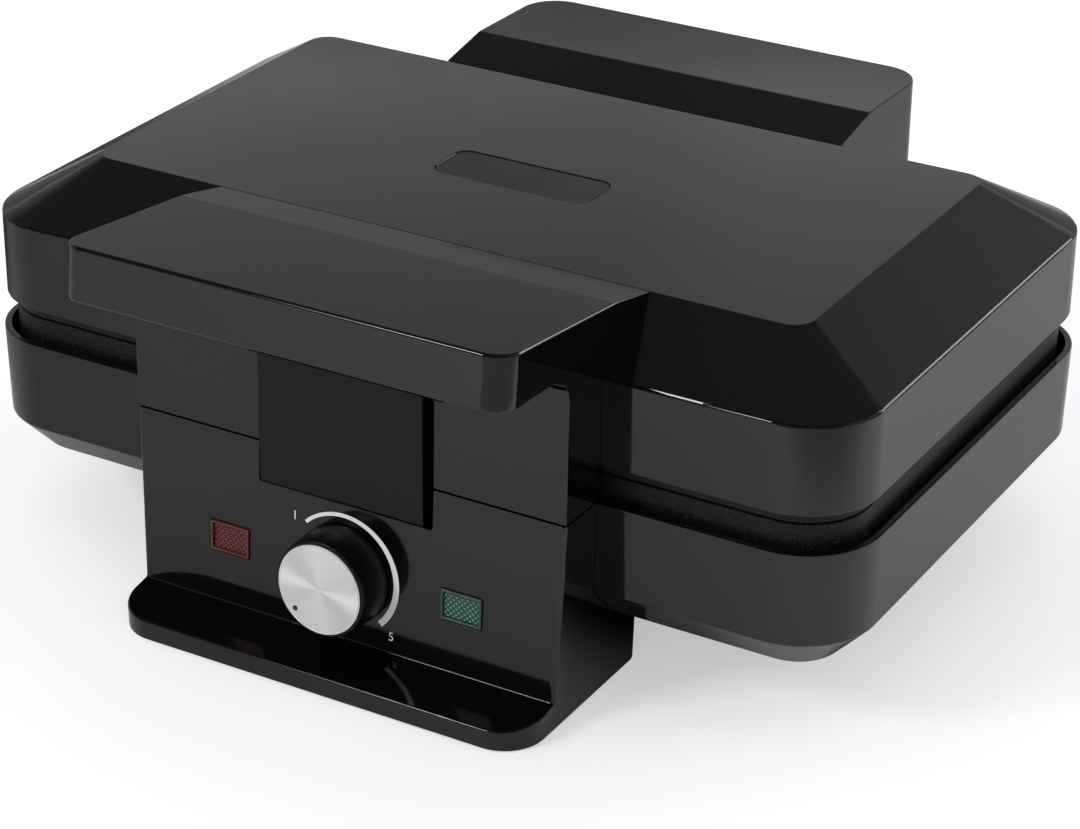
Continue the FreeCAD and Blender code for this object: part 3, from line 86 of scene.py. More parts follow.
class Graph:
    """A node tree that is filled by name."""

    def __init__(self, tree: bpy.types.NodeTree) -> None:
        """Start from an empty tree.

        Args:
            tree: Node tree of a material or of the world.
        """
        self.tree = tree
        self.tree.nodes.clear()

    def add(self, kind: str, settings: dict[str, Any] | None = None, **sockets: Any) -> bpy.types.Node:
        """Add a node, set its properties, and set or link its inputs.

        Args:
            kind: Type name of the node, without its common prefix.
            settings: Properties of the node.
            **sockets: Values or output sockets by input name, with underscores for spaces.

        Returns:
            The new node.
        """
        node = self.tree.nodes.new(f"ShaderNode{kind}")
        for key, value in (settings or {}).items():
            setattr(node, key, value)
        for key, value in sockets.items():
            self.put(node, key.replace("_", " "), value)
        return node

    def put(self, node: bpy.types.Node, socket: str | int, value: Any) -> None:
        """Set an input to a value, or link it to an output socket.

        Args:
            node: Node that takes the input.
            socket: Name or number of the input.
            value: A number, a colour, a vector or an output socket.
        """
        if isinstance(value, bpy.types.NodeSocket):
            self.tree.links.new(value, node.inputs[socket])
        else:
            node.inputs[socket].default_value = value

    def math(self, operation: str, first: Any, second: Any = 0.0) -> bpy.types.NodeSocket:
        """Combine two values.

        Args:
            operation: Name of the operation.
            first: Number or output socket.
            second: Number or output socket.

        Returns:
            The result's socket.
        """
        node = self.add("Math", {"operation": operation})
        self.put(node, 0, first)
        self.put(node, 1, second)
        return node.outputs[0]

    def spread(self, value: bpy.types.NodeSocket, low: float, high: float) -> bpy.types.NodeSocket:
        """Map a texture's middle range to a range of values.

        Args:
            value: Socket of a texture factor.
            low: Value at the dark end.
            high: Value at the bright end.

        Returns:
            The mapped socket.
        """
        node = self.add("MapRange", {"clamp": True})
        self.put(node, "Value", value)
        self.put(node, "From Min", NOISE_MIDDLE[0])
        self.put(node, "From Max", NOISE_MIDDLE[1])
        self.put(node, "To Min", low)
        self.put(node, "To Max", high)
        return node.outputs["Result"]

    def middled(self, value: bpy.types.NodeSocket, scale: float = 0.5) -> bpy.types.NodeSocket:
        """Scale a value about zero and move its middle to one half.

        Args:
            value: Socket with the value.
            scale: What it is multiplied by.

        Returns:
            The moved socket.
        """
        moved = self.math("MULTIPLY_ADD", value, scale)
        self.put(moved.node, 2, 0.5)
        return moved

    def ramp(self, value: bpy.types.NodeSocket, stops: Stops) -> bpy.types.NodeSocket:
        """Look a value up in a grey scale with several stops.

        Args:
            value: Socket with the value, from 0 to 1.
            stops: Places and grey levels, in order.

        Returns:
            The colour socket.
        """
        node = self.add("ValToRGB", None, Fac=value)
        scale = node.color_ramp
        scale.interpolation = "EASE"
        while len(scale.elements) < len(stops):
            scale.elements.new(1.0)
        for element, (place, level) in zip(scale.elements, stops):
            element.position = place
            element.color = (level, level, level, 1.0)
        return node.outputs["Color"]

    def blend(self, factor: Any, first: Any, second: Any, blend_type: str = "MIX") -> bpy.types.NodeSocket:
        """Blend two colours.

        Args:
            factor: How much of the second colour is used.
            first: Colour or socket.
            second: Colour or socket.
            blend_type: Way to combine them.

        Returns:
            The blended colour's socket.
        """
        node = self.add("Mix", {"data_type": "RGBA", "blend_type": blend_type})
        self.put(node, "Factor", factor)
        self.put(node, 6, first)
        self.put(node, 7, second)
        return node.outputs[2]

    def product(self, first: bpy.types.NodeSocket, second: bpy.types.NodeSocket) -> bpy.types.NodeSocket:
        """Multiply two colours.

        Args:
            first: Socket of the first colour.
            second: Socket of the second colour.

        Returns:
            The product's socket.
        """
        return self.blend(1.0, first, second, "MULTIPLY")


def new_material(name: str) -> tuple[bpy.types.Material, Graph]:
    """Make an empty node material.

    Args:
        name: Name of the material.

    Returns:
        The material and its graph.
    """
    material = bpy.data.materials.new(name)
    material.use_nodes = True
    return material, Graph(material.node_tree)


@dataclass(frozen=True)
class MouldedPlastic:
    """Injection-moulded plastic, with the slight unevenness of a moulded skin."""

    name: str
    colour: Colour
    roughness: tuple[float, float]
    swell_size: float
    swell_depth: float
    grain_size: float
    grain_depth: float
    specular: float = 0.5

    def build(self) -> bpy.types.Material:
        """Make the material."""
        material, graph = new_material(self.name)
        place = graph.add("TexCoord").outputs["Object"]
        swell = graph.add("TexNoise", None, Vector=place, Scale=1 / self.swell_size, Detail=2.0)
        grain = graph.add("TexNoise", None, Vector=place, Scale=1 / self.grain_size, Detail=3.0)
        wide = graph.add("Bump", None, Height=swell.outputs["Fac"], Strength=1.0, Distance=self.swell_depth)
        fine = graph.add("Bump", None, Height=grain.outputs["Fac"], Strength=1.0, Distance=self.grain_depth)
        graph.put(fine, "Normal", wide.outputs["Normal"])
        shader = graph.add("BsdfPrincipled", None, Normal=fine.outputs["Normal"])
        graph.put(shader, "Base Color", self.colour)
        graph.put(shader, "Specular IOR Level", self.specular)
        graph.put(shader, "Roughness", graph.spread(swell.outputs["Fac"], *self.roughness))
        graph.add("OutputMaterial", None, Surface=shader.outputs["BSDF"])
        return material


@dataclass(frozen=True)
class CoatedCasting:
    """Cast aluminium under a non-stick coat with pale flecks."""

    name: str
    coat: Colour
    fleck: Colour
    fleck_size: float
    fleck_share: float
    roughness: tuple[float, float]
    cast_depth: float
    specular: float
    dot_share: float = 0.32

    def build(self) -> bpy.types.Material:
        """Make the material."""
        material, graph = new_material(self.name)
        place = graph.add("TexCoord").outputs["Object"]
        cells = graph.add("TexVoronoi", None, Vector=place, Scale=1 / self.fleck_size)
        choice = graph.add("SeparateColor", None, Color=cells.outputs["Color"])
        chosen = graph.math("LESS_THAN", choice.outputs["Red"], self.fleck_share)
        dot = graph.math("LESS_THAN", cells.outputs["Distance"], self.dot_share)
        fleck = graph.math("MULTIPLY", chosen, dot)
        tint = graph.blend(fleck, self.coat, self.fleck)
        skin = graph.add("TexNoise", None, Vector=place, Scale=1 / (2 * self.fleck_size), Detail=4.0)
        bump = graph.add("Bump", None, Height=skin.outputs["Fac"], Strength=1.0, Distance=self.cast_depth)
        shader = graph.add("BsdfPrincipled", None, Normal=bump.outputs["Normal"])
        graph.put(shader, "Base Color", tint)
        graph.put(shader, "Specular IOR Level", self.specular)
        graph.put(shader, "Roughness", graph.spread(skin.outputs["Fac"], *self.roughness))
        graph.add("OutputMaterial", None, Surface=shader.outputs["BSDF"])
        return material


@dataclass(frozen=True)
class PlatedMetal:
    """Bare or plated metal with fine streaks and a little dullness."""

    name: str
    bright: Colour
    dull: Colour
    roughness: tuple[float, float]
    streak_size: float
    stretch: Point = (1.0, 1.0, 1.0)

    def build(self) -> bpy.types.Material:
        """Make the material."""
        material, graph = new_material(self.name)
        place = graph.add("TexCoord").outputs["Object"]
        drawn = graph.add("Mapping", None, Vector=place, Scale=self.stretch)
        streak = graph.add("TexNoise", None, Scale=1 / self.streak_size, Detail=4.0)
        graph.put(streak, "Vector", drawn.outputs["Vector"])
        tint = graph.blend(graph.spread(streak.outputs["Fac"], 0.0, 1.0), self.bright, self.dull)
        shader = graph.add("BsdfPrincipled", None, Metallic=1.0)
        graph.put(shader, "Base Color", tint)
        graph.put(shader, "Roughness", graph.spread(streak.outputs["Fac"], *self.roughness))
        graph.add("OutputMaterial", None, Surface=shader.outputs["BSDF"])
        return material


@dataclass(frozen=True)
class SpunMetal:
    """Turned metal with fine rings about the axis of a disc that faces the front."""

    name: str
    bright: Colour
    dull: Colour
    roughness: tuple[float, float]
    ring_width: float
    ring_depth: float
    middle: Point
    anisotropy: float

    def build(self) -> bpy.types.Material:
        """Make the material."""
        material, graph = new_material(self.name)
        place = graph.add("TexCoord").outputs["Object"]
        centred = graph.add("VectorMath", {"operation": "SUBTRACT"})
        graph.put(centred, 0, place)
        graph.put(centred, 1, self.middle)
        length = graph.add("VectorMath", {"operation": "LENGTH"})
        graph.put(length, 0, centred.outputs["Vector"])
        radius = length.outputs["Value"]
        turns = graph.add("TexNoise", {"noise_dimensions": "1D"}, W=radius, Detail=5.0)
        graph.put(turns, "Scale", 1 / self.ring_width)
        cut = graph.add("Bump", None, Height=turns.outputs["Fac"], Strength=1.0, Distance=self.ring_depth)
        tint = graph.blend(graph.spread(turns.outputs["Fac"], 0.0, 1.0), self.bright, self.dull)
        around = graph.add("Tangent", {"direction_type": "RADIAL", "axis": "Y"})
        shader = graph.add("BsdfPrincipled", None, Metallic=1.0, Normal=cut.outputs["Normal"])
        graph.put(shader, "Base Color", tint)
        graph.put(shader, "Roughness", graph.spread(turns.outputs["Fac"], *self.roughness))
        graph.put(shader, "Anisotropic", self.anisotropy)
        graph.put(shader, "Tangent", around.outputs["Tangent"])
        graph.add("OutputMaterial", None, Surface=shader.outputs["BSDF"])
        return material


@dataclass(frozen=True)
class TintedLens:
    """Clear tinted plastic of a pilot lamp."""

    name: str
    tint: Colour
    depth: Colour
    roughness: float
    cloud_size: float = 3.0 * MM
    ior: float = 1.5

    def build(self) -> bpy.types.Material:
        """Make the material."""
        material, graph = new_material(self.name)
        place = graph.add("TexCoord").outputs["Object"]
        cloud = graph.add("TexNoise", None, Vector=place, Scale=1 / self.cloud_size, Detail=2.0)
        tint = graph.blend(graph.spread(cloud.outputs["Fac"], 0.0, 1.0), self.tint, self.depth)
        shader = graph.add("BsdfPrincipled", None, Roughness=self.roughness)
        graph.put(shader, "Base Color", tint)
        graph.put(shader, "IOR", self.ior)
        graph.add("OutputMaterial", None, Surface=shader.outputs["BSDF"])
        return material


class Finish(Enum):
    """Every finish on the waffle maker."""

    GLOSS_BLACK = MouldedPlastic(
        "gloss_black_plastic", (0.002, 0.002, 0.0021, 1.0), (0.06, 0.1),
        45 * MM, 0.006 * MM, 1.2 * MM, 0.0004 * MM,
    )
    SATIN_BLACK = MouldedPlastic(
        "satin_black_plastic", (0.005, 0.005, 0.0052, 1.0), (0.3, 0.4),
        30 * MM, 0.01 * MM, 0.35 * MM, 0.006 * MM,
    )
    FLAP_BLACK = MouldedPlastic(
        "flap_black_plastic", (0.003, 0.003, 0.0031, 1.0), (0.16, 0.22),
        30 * MM, 0.006 * MM, 0.5 * MM, 0.002 * MM, 0.22,
    )
    KNOB_BLACK = MouldedPlastic(
        "knob_black_plastic", (0.002, 0.002, 0.0021, 1.0), (0.34, 0.4),
        30 * MM, 0.006 * MM, 0.5 * MM, 0.002 * MM, 0.22,
    )
    NON_STICK = CoatedCasting(
        "non_stick_coat", (0.004, 0.004, 0.0043, 1.0), (0.045, 0.045, 0.048, 1.0),
        0.8 * MM, 0.14, (0.38, 0.5), 0.03 * MM, 0.22,
    )
    ALUMINIUM = PlatedMetal(
        "plain_aluminium", (0.75, 0.75, 0.76, 1.0), (0.6, 0.6, 0.61, 1.0), (0.28, 0.42), 6 * MM
    )
    STEEL = PlatedMetal(
        "zinc_plated_steel", (0.62, 0.62, 0.61, 1.0), (0.47, 0.47, 0.48, 1.0), (0.22, 0.36), 4 * MM
    )
    DARK_STEEL = PlatedMetal(
        "blackened_steel", (0.03, 0.03, 0.032, 1.0), (0.02, 0.02, 0.021, 1.0), (0.35, 0.5), 4 * MM
    )
    NYLON = MouldedPlastic(
        "natural_nylon", (0.72, 0.7, 0.64, 1.0), (0.4, 0.5), 8 * MM, 0.02 * MM, 0.5 * MM, 0.004 * MM
    )
    CERAMIC = MouldedPlastic(
        "unglazed_ceramic", (0.78, 0.75, 0.69, 1.0), (0.6, 0.75), 9 * MM, 0.03 * MM, 0.4 * MM, 0.01 * MM
    )
    RUBBER = MouldedPlastic(
        "soft_rubber", (0.022, 0.022, 0.022, 1.0), (0.65, 0.8), 10 * MM, 0.02 * MM, 0.3 * MM, 0.01 * MM
    )
    SPUN_DISC = SpunMetal(
        "spun_aluminium", (0.95, 0.95, 0.955, 1.0), (0.9, 0.9, 0.905, 1.0), (0.42, 0.48),
        0.25 * MM, 0.002 * MM, (0.0, -132.4 * MM, 36.3 * MM), 0.8,
    )
    PRINT = MouldedPlastic(
        "pale_print", (0.88, 0.88, 0.89, 1.0), (0.4, 0.55), 4 * MM, 0.002 * MM, 0.2 * MM, 0.002 * MM
    )
    POINTER = MouldedPlastic(
        "pointer_paint", (0.006, 0.006, 0.006, 1.0), (0.35, 0.5), 1 * MM, 0.002 * MM, 0.1 * MM, 0.002 * MM
    )
    RED_LENS = TintedLens("red_lamp_plastic", (0.23, 0.05, 0.04, 1.0), (0.19, 0.042, 0.033, 1.0), 0.1)
    # Darker copy of the red tint for the valleys between the domes: painted shade; the crests keep the
    # plain tint.
    RED_VALLEY = TintedLens("red_lamp_shaded_valley", (0.045, 0.007, 0.006, 1.0), (0.035, 0.006, 0.005, 1.0), 0.1)
    # Darker copy of the red tint on the block: painted shade for the dark inside seen through its clear
    # margin.
    RED_MARGIN = TintedLens("red_lamp_shaded_margin", (0.12, 0.02, 0.016, 1.0), (0.09, 0.015, 0.012, 1.0), 0.08)
    GREEN_LENS = TintedLens("green_lamp_plastic", (0.11, 0.31, 0.24, 1.0), (0.09, 0.27, 0.2, 1.0), 0.1)
    # Darker copy of the green tint for the valleys between the domes: painted shade; the crests keep the
    # plain tint.
    GREEN_VALLEY = TintedLens(
        "green_lamp_shaded_valley", (0.018, 0.055, 0.042, 1.0), (0.014, 0.045, 0.035, 1.0), 0.1
    )
    # Darker copy of the green tint on the block: painted shade for the dark inside seen through its clear
    # margin.
    GREEN_MARGIN = TintedLens(
        "green_lamp_shaded_margin", (0.02, 0.06, 0.05, 1.0), (0.014, 0.045, 0.036, 1.0), 0.08
    )
    GLASS = TintedLens("lamp_glass", (0.8, 0.75, 0.7, 1.0), (0.75, 0.68, 0.6, 1.0), 0.05)

    def material(self) -> bpy.types.Material:
        """The finish's material, made once."""
        found = bpy.data.materials.get(self.value.name)
        return found if found else self.value.build()


SLOT_FINISH = {
    "gloss_black": Finish.GLOSS_BLACK,
    "satin_black": Finish.SATIN_BLACK,
    "nonstick_plate": Finish.NON_STICK,
    "aluminium": Finish.ALUMINIUM,
    "steel": Finish.STEEL,
    "nylon": Finish.NYLON,
    "ceramic": Finish.CERAMIC,
    "rubber": Finish.RUBBER,
    "red_lens": Finish.RED_LENS,
    "green_lens": Finish.GREEN_LENS,
    "glass": Finish.GLASS,
}

NODE_FINISH = {
    "latch_flap": Finish.FLAP_BLACK,
    "knob_body": Finish.KNOB_BLACK,
    "latch_pin": Finish.DARK_STEEL,
}


def take(piece: bpy.types.Object) -> None:
    """Make a piece the only one selected, and the active one."""
    bpy.ops.object.select_all(action="DESELECT")
    piece.select_set(True)
    bpy.context.view_layer.objects.active = piece


@contextmanager
def editing(piece: bpy.types.Object, mode: str = "FACE") -> Iterator[None]:
    """Edit a piece's mesh, with all of it deselected at the start.

    Args:
        piece: Piece to edit.
        mode: Kind of element that operators act on.
    """
    take(piece)
    bpy.ops.object.mode_set(mode="EDIT")
    bpy.ops.mesh.select_mode(type=mode)
    bpy.ops.mesh.select_all(action="DESELECT")
    yield
    bpy.ops.object.mode_set(mode="OBJECT")


def pick(piece: bpy.types.Object, kind: str, test: Callable[[Any], bool]) -> None:
    """Select the elements of the mesh in edit mode that pass a test, and no others.

    Args:
        piece: Piece in edit mode.
        kind: Name of the element list: verts, edges or faces.
        test: Says whether an element is selected.
    """
    bpy.ops.mesh.select_all(action="DESELECT")
    shape = bmesh.from_edit_mesh(piece.data)
    for element in getattr(shape, kind):
        element.select_set(test(element))
    shape.select_flush_mode()
    bmesh.update_edit_mesh(piece.data)


def apply_all(piece: bpy.types.Object) -> None:
    """Apply a piece's modifiers in order."""
    take(piece)
    for modifier in list(piece.modifiers):
        bpy.ops.object.modifier_apply(modifier=modifier.name)


def soften(piece: bpy.types.Object, width: float, segments: int = 2, angle: float = 28.0) -> None:
    """Round a piece's sharp edges and shade it smooth, with its flats kept flat.

    Args:
        piece: Piece to soften.
        width: Width of the rounding.
        segments: Faces across the rounding.
        angle: Least angle of an edge that is rounded.
    """
    bevel = piece.modifiers.new("rounding", "BEVEL")
    bevel.width = width
    bevel.segments = segments
    bevel.limit_method = "ANGLE"
    bevel.angle_limit = math.radians(angle)
    bevel.use_clamp_overlap = False
    bevel.miter_outer = "MITER_ARC"
    apply_all(piece)
    bpy.ops.object.shade_smooth_by_angle(angle=math.radians(SMOOTH_ANGLE))
    weighted = piece.modifiers.new("flats", "WEIGHTED_NORMAL")
    weighted.keep_sharp = True
    weighted.weight = 100
    apply_all(piece)


def put_on(piece: bpy.types.Object, place: Matrix) -> None:
    """Move a finished piece to its place and write the place into its mesh."""
    piece.matrix_world = place
    take(piece)
    bpy.ops.object.transform_apply(location=True, rotation=True, scale=True)


def finish_piece(
    piece: bpy.types.Object,
    name: str,
    body: str,
    finishes: Sequence[Finish],
    nodes: Sequence[str] = (),
) -> None:
    """Name a piece, dress it and hang it on its body.

    Args:
        piece: Finished piece.
        name: Its name.
        body: Body that it moves with.
        finishes: Finish of each of its material slots.
        nodes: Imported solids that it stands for.
    """
    piece.name = name
    piece.data.name = name
    piece.data.materials.clear()
    for finish in finishes:
        piece.data.materials.append(finish.material())
    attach(piece, body)
    if nodes:
        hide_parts(*nodes)
    LOG.info("%s on %s", name, body)


def set_out(master: bpy.types.Object, name: str, places: Sequence[Matrix]) -> bpy.types.Object:
    """Put a copy of a piece at each place, all in one mesh, and drop the piece itself.

    Args:
        master: Piece at the origin.
        name: Name of the set.
        places: Where the copies go.

    Returns:
        The joined set.
    """
    copies = []
    for place in places:
        copy = bpy.data.objects.new(name, master.data.copy())
        bpy.context.collection.objects.link(copy)
        put_on(copy, place)
        copies.append(copy)
    bpy.data.objects.remove(master)
    take(copies[0])
    for copy in copies[1:]:
        copy.select_set(True)
    bpy.ops.object.join()
    return copies[0]


def panel_place() -> Matrix:
    """Frame of the control panel about the knob's axis: right, up along the panel, and out of it."""
    turn = Matrix.Rotation(math.radians(90.0 - PANEL_LEAN), 4, "X")
    return Matrix.Translation(PANEL_MIDDLE) @ turn


@dataclass
class Mouldings:
    """Moulded, cast and turned shells, with the small edge rounding that their solids leave out."""

    frame: dict[str, Any]
    smooth: float = 0.3 * MM
    plain: float = 0.5 * MM
    rim: float = 0.6 * MM
    full: float = 0.7 * MM
    least_angle: float = 28.0
    hood_angle: float = 10.0
    weld: float = 0.002 * MM
    flat_angle: float = 0.4

    def build(self) -> None:
        """Round every shell that can be seen with the lid shut or open."""
        widths = {
            "upper_housing": self.rim,
            "badge_plate": self.smooth / 2,
            "front_handle": self.plain,
            "rear_hood": self.full,
            "lower_housing": self.plain,
            "front_stand": self.plain,
            "rear_stand": self.full,
            "latch_flap": self.plain,
            "lower_cooking_plate": self.full,
            "upper_cooking_plate": self.full,
            "hinge_arms": self.plain,
            "front_base_cover": self.smooth,
            "rear_base_cover": self.smooth,
            "cord_gland": self.plain,
            "rubber_feet": self.smooth,
            "knob_body": self.smooth / 2,
        }
        for node, width in widths.items():
            self.round_shell(node, width)

    def round_shell(self, node: str, width: float) -> None:
        """Model one shell from a merged copy of its solid's mesh.

        Args:
            node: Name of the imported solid.
            width: Width of the edge rounding.
        """
        piece = bpy.data.objects.new(node, self.frame["nodes"][node].data.copy())
        bpy.context.collection.objects.link(piece)
        with editing(piece):
            bpy.ops.mesh.select_all(action="SELECT")
            bpy.ops.mesh.customdata_custom_splitnormals_clear()
            bpy.ops.mesh.remove_doubles(threshold=self.weld)
            bpy.ops.mesh.dissolve_limited(angle_limit=math.radians(self.flat_angle))
        angle = self.hood_angle if node == "rear_hood" else self.least_angle
        soften(piece, width, angle=angle)
        slot = self.slot_of(node)
        finish = NODE_FINISH.get(node, SLOT_FINISH[slot])
        finish_piece(piece, f"{node}_skin", self.body_of(node), [finish], [node])

    def slot_of(self, node: str) -> str:
        """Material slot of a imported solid."""
        parts = self.frame["record"]["subparts"]
        return next(part["material_slot"] for part in parts if part["node"] == node)

    def body_of(self, node: str) -> str:
        """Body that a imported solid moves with."""
        bodies = self.frame["record"]["behaviour"]["bodies"]
        return next(body for body, nodes in bodies.items() if node in nodes)


@dataclass
class DialPrint:
    """Printed scale round the knob: a tapered arc and a plain number at each end."""

    radius: float = 22.0 * MM
    width: float = 1.8 * MM
    taper: float = 0.5 * MM
    ink: float = 0.06 * MM
    sides: int = 160
    figure_height: float = 3.2 * MM
    cap_share: float = 0.7
    weld: float = 0.001 * MM
    low_place: tuple[float, float] = (-19.5 * MM, 16.2 * MM)
    high_place: tuple[float, float] = (19.2 * MM, -18.4 * MM)

    def build(self) -> None:
        """Make the arc and the two numbers."""
        self.make_arc()
        self.make_figure("1", self.low_place)
        self.make_figure("5", self.high_place)

    def make_arc(self) -> None:
        """Bridge two circles, one a little off centre, and keep the upper right half."""
        bpy.ops.object.select_all(action="DESELECT")
        bpy.ops.mesh.primitive_circle_add(vertices=self.sides, radius=self.radius)
        arc = bpy.context.object
        aside = self.taper * math.sqrt(0.5)
        with editing(arc, "EDGE"):
            bpy.ops.mesh.primitive_circle_add(
                vertices=self.sides, radius=self.radius - self.width, location=(-aside, aside, 0.0)
            )
            bpy.ops.mesh.select_all(action="SELECT")
            bpy.ops.mesh.bridge_edge_loops()
            bpy.ops.mesh.select_all(action="SELECT")
            bpy.ops.mesh.bisect(plane_co=(0.0, 0.0, 0.0), plane_no=(1.0, 1.0, 0.0), clear_inner=True)
            bpy.ops.mesh.select_all(action="SELECT")
            bpy.ops.mesh.normals_make_consistent(inside=False)
            bpy.ops.mesh.extrude_region_move(TRANSFORM_OT_translate={"value": (0.0, 0.0, self.ink)})
            bpy.ops.mesh.select_all(action="SELECT")
            bpy.ops.mesh.normals_make_consistent(inside=False)
        put_on(arc, panel_place())
        finish_piece(arc, "dial_arc_print", "base", [Finish.PRINT])

    def make_figure(self, figure: str, place: tuple[float, float]) -> None:
        """Print one number.

        Args:
            figure: The number.
            place: Where its middle is, from the knob's axis.
        """
        bpy.ops.object.select_all(action="DESELECT")
        bpy.ops.object.text_add()
        text = bpy.context.object
        text.data.body = figure
        text.data.size = self.figure_height / self.cap_share
        text.data.align_x = "CENTER"
        text.data.align_y = "CENTER"
        text.data.extrude = self.ink / 2
        text.data.resolution_u = 6
        bpy.ops.object.convert(target="MESH")
        with editing(text):
            bpy.ops.mesh.select_all(action="SELECT")
            bpy.ops.mesh.remove_doubles(threshold=self.weld)
            bpy.ops.mesh.normals_make_consistent(inside=False)
        put_on(text, panel_place() @ Matrix.Translation((*place, self.ink / 2)))
        finish_piece(text, f"dial_figure_{figure}", "base", [Finish.PRINT])


@dataclass
class PilotLamp:
    """Lens of one pilot lamp: smooth margin round a sunk field of small domes."""

    colour: str
    side: float
    finishes: tuple[Finish, Finish, Finish]
    width: float = 15.6 * MM
    height: float = 10.9 * MM
    proud: float = 0.5 * MM
    depth: float = 3.0 * MM
    margin: float = 0.9 * MM
    sink: float = 1.4 * MM
    pitch: float = 1.5 * MM
    peak: float = 1.0 * MM
    crest_share: float = 0.33
    field_sheet: float = 0.1 * MM
    edge: float = 0.2 * MM
    dome_levels: int = 2

    def build(self) -> None:
        """Put the block in the panel's window, and the domes on its sunk floor."""
        place = panel_place() @ Matrix.Translation((self.side, 0.0, 0.0))
        block = self.make_block()
        put_on(block, place)
        slot = f"{self.colour}_lens"
        clear, shaded_valley, crest = self.finishes
        # The whole block takes the darker margin finish: painted shade for the dark inside seen through the
        # clear plastic.
        finish_piece(block, f"{slot}_block", "base", [clear], [f"{self.colour}_lamp_lens"])
        field = self.make_field()
        # Crest faces keep the lens tint and the faces below take its darker copy: painted shade in the
        # valleys.
        level = self.proud - self.sink + self.crest_share * self.peak
        crests = [face.center.z > level for face in field.data.polygons]
        put_on(field, place)
        finish_piece(field, f"{slot}_lattice", "base", [shaded_valley, crest])
        for face, is_crest in zip(field.data.polygons, crests):
            face.material_index = int(is_crest)

    def make_block(self) -> bpy.types.Object:
        """Cube with softened front edges and a sunk field.

        Returns:
            The block, centred on its front face.
        """
        bpy.ops.object.select_all(action="DESELECT")
        bpy.ops.mesh.primitive_cube_add(size=1.0, location=(0.0, 0.0, self.proud - self.depth / 2))
        block = bpy.context.object
        block.scale = (self.width, self.height, self.depth)
        bpy.ops.object.transform_apply(location=True, rotation=True, scale=True)
        with editing(block):
            pick(block, "faces", lambda face: face.normal.z > FACING)
            bpy.ops.mesh.inset(thickness=self.margin, depth=0.0)
            bpy.ops.mesh.extrude_region_move(TRANSFORM_OT_translate={"value": (0.0, 0.0, -self.sink)})
        soften(block, self.edge, 3)
        return block

    def make_field(self) -> bpy.types.Object:
        """Turned grid, cut to the field's outline, given thickness and raised into domes.

        Returns:
            The field, on the block's sunk floor.
        """
        half_x = self.width / 2 - self.margin
        half_y = self.height / 2 - self.margin
        count = math.ceil(2.0 * math.hypot(half_x, half_y) / self.pitch)
        floor = self.proud - self.sink
        bpy.ops.object.select_all(action="DESELECT")
        bpy.ops.mesh.primitive_grid_add(
            x_subdivisions=count, y_subdivisions=count, size=count * self.pitch, location=(0.0, 0.0, floor),
            rotation=(0.0, 0.0, math.radians(45.0)),
        )
        field = bpy.context.object
        bpy.ops.object.transform_apply(location=True, rotation=True, scale=True)
        with editing(field):
            for point in ((half_x, 0, 0), (-half_x, 0, 0), (0, half_y, 0), (0, -half_y, 0)):
                bpy.ops.mesh.select_all(action="SELECT")
                normal = Vector(point).normalized()
                bpy.ops.mesh.bisect(plane_co=point, plane_no=normal, clear_outer=True)
            bpy.ops.mesh.select_all(action="SELECT")
            bpy.ops.mesh.solidify(thickness=self.field_sheet)
            pick(field, "faces", lambda face: face.normal.z > FACING)
            bpy.ops.mesh.poke(offset=self.peak)
        domes = field.modifiers.new("domes", "SUBSURF")
        domes.levels = self.dome_levels
        domes.render_levels = self.dome_levels
        apply_all(field)
        bpy.ops.object.shade_smooth()
        return field


@dataclass
class KnobFace:
    """Spun disc in the knob, with a turned rim, a dished middle and a pointer dot."""

    radius: float = 16.1 * MM
    back: float = 13.5 * MM
    front: float = 14.9 * MM
    rim: float = 0.5 * MM
    dish: float = 0.12 * MM
    edge: float = 0.18 * MM
    sides: int = 128
    rings: tuple[float, float] = (0.4, 0.35)
    dot_sides: int = 32
    dot_depth: float = 0.1 * MM
    dot_crown: float = 0.02 * MM
    dot_bevel: float = 0.3
    dot_radius: float = 0.95 * MM
    dot_reach: float = 13.2 * MM
    dot_angle: float = 225.0

    def build(self) -> None:
        """Make the disc and the dot."""
        self.make_disc()
        self.make_dot()

    def make_disc(self) -> None:
        """Turn the disc from a cylinder: a rim left standing and a face that is sunk a little."""
        bpy.ops.object.select_all(action="DESELECT")
        depth = self.front - self.back
        bpy.ops.mesh.primitive_cylinder_add(
            vertices=self.sides, radius=self.radius, depth=depth, location=(0.0, 0.0, self.back + depth / 2)
        )
        disc = bpy.context.object
        bpy.ops.object.transform_apply(location=True, rotation=True, scale=True)
        with editing(disc):
            pick(disc, "faces", lambda face: face.normal.z > FACING)
            bpy.ops.mesh.inset(thickness=self.rim)
            bpy.ops.mesh.inset(thickness=self.dish)
            bpy.ops.transform.translate(value=(0.0, 0.0, -self.dish))
            for share in self.rings:
                bpy.ops.mesh.inset(thickness=self.radius * share)
            bpy.ops.mesh.poke(offset=0.0)
        soften(disc, self.edge, 3)
        put_on(disc, panel_place())
        finish_piece(disc, "knob_face_disc", "knob", [Finish.SPUN_DISC], ["knob_disc"])

    def make_dot(self) -> None:
        """Fill the pointer's drilled dot with paint."""
        turn = math.radians(self.dot_angle)
        top = self.front - self.dish
        bpy.ops.object.select_all(action="DESELECT")
        bpy.ops.mesh.primitive_cylinder_add(
            vertices=self.dot_sides, radius=self.dot_radius, depth=self.dot_depth
        )
        dot = bpy.context.object
        with editing(dot):
            pick(dot, "faces", lambda face: face.normal.z > FACING)
            bpy.ops.mesh.inset(thickness=self.dot_radius * self.dot_bevel)
            bpy.ops.transform.translate(value=(0.0, 0.0, self.dot_crown))
        place = (self.dot_reach * math.cos(turn), self.dot_reach * math.sin(turn), top)
        put_on(dot, panel_place() @ Matrix.Translation(place))
        finish_piece(dot, "knob_pointer_dot", "knob", [Finish.POINTER])


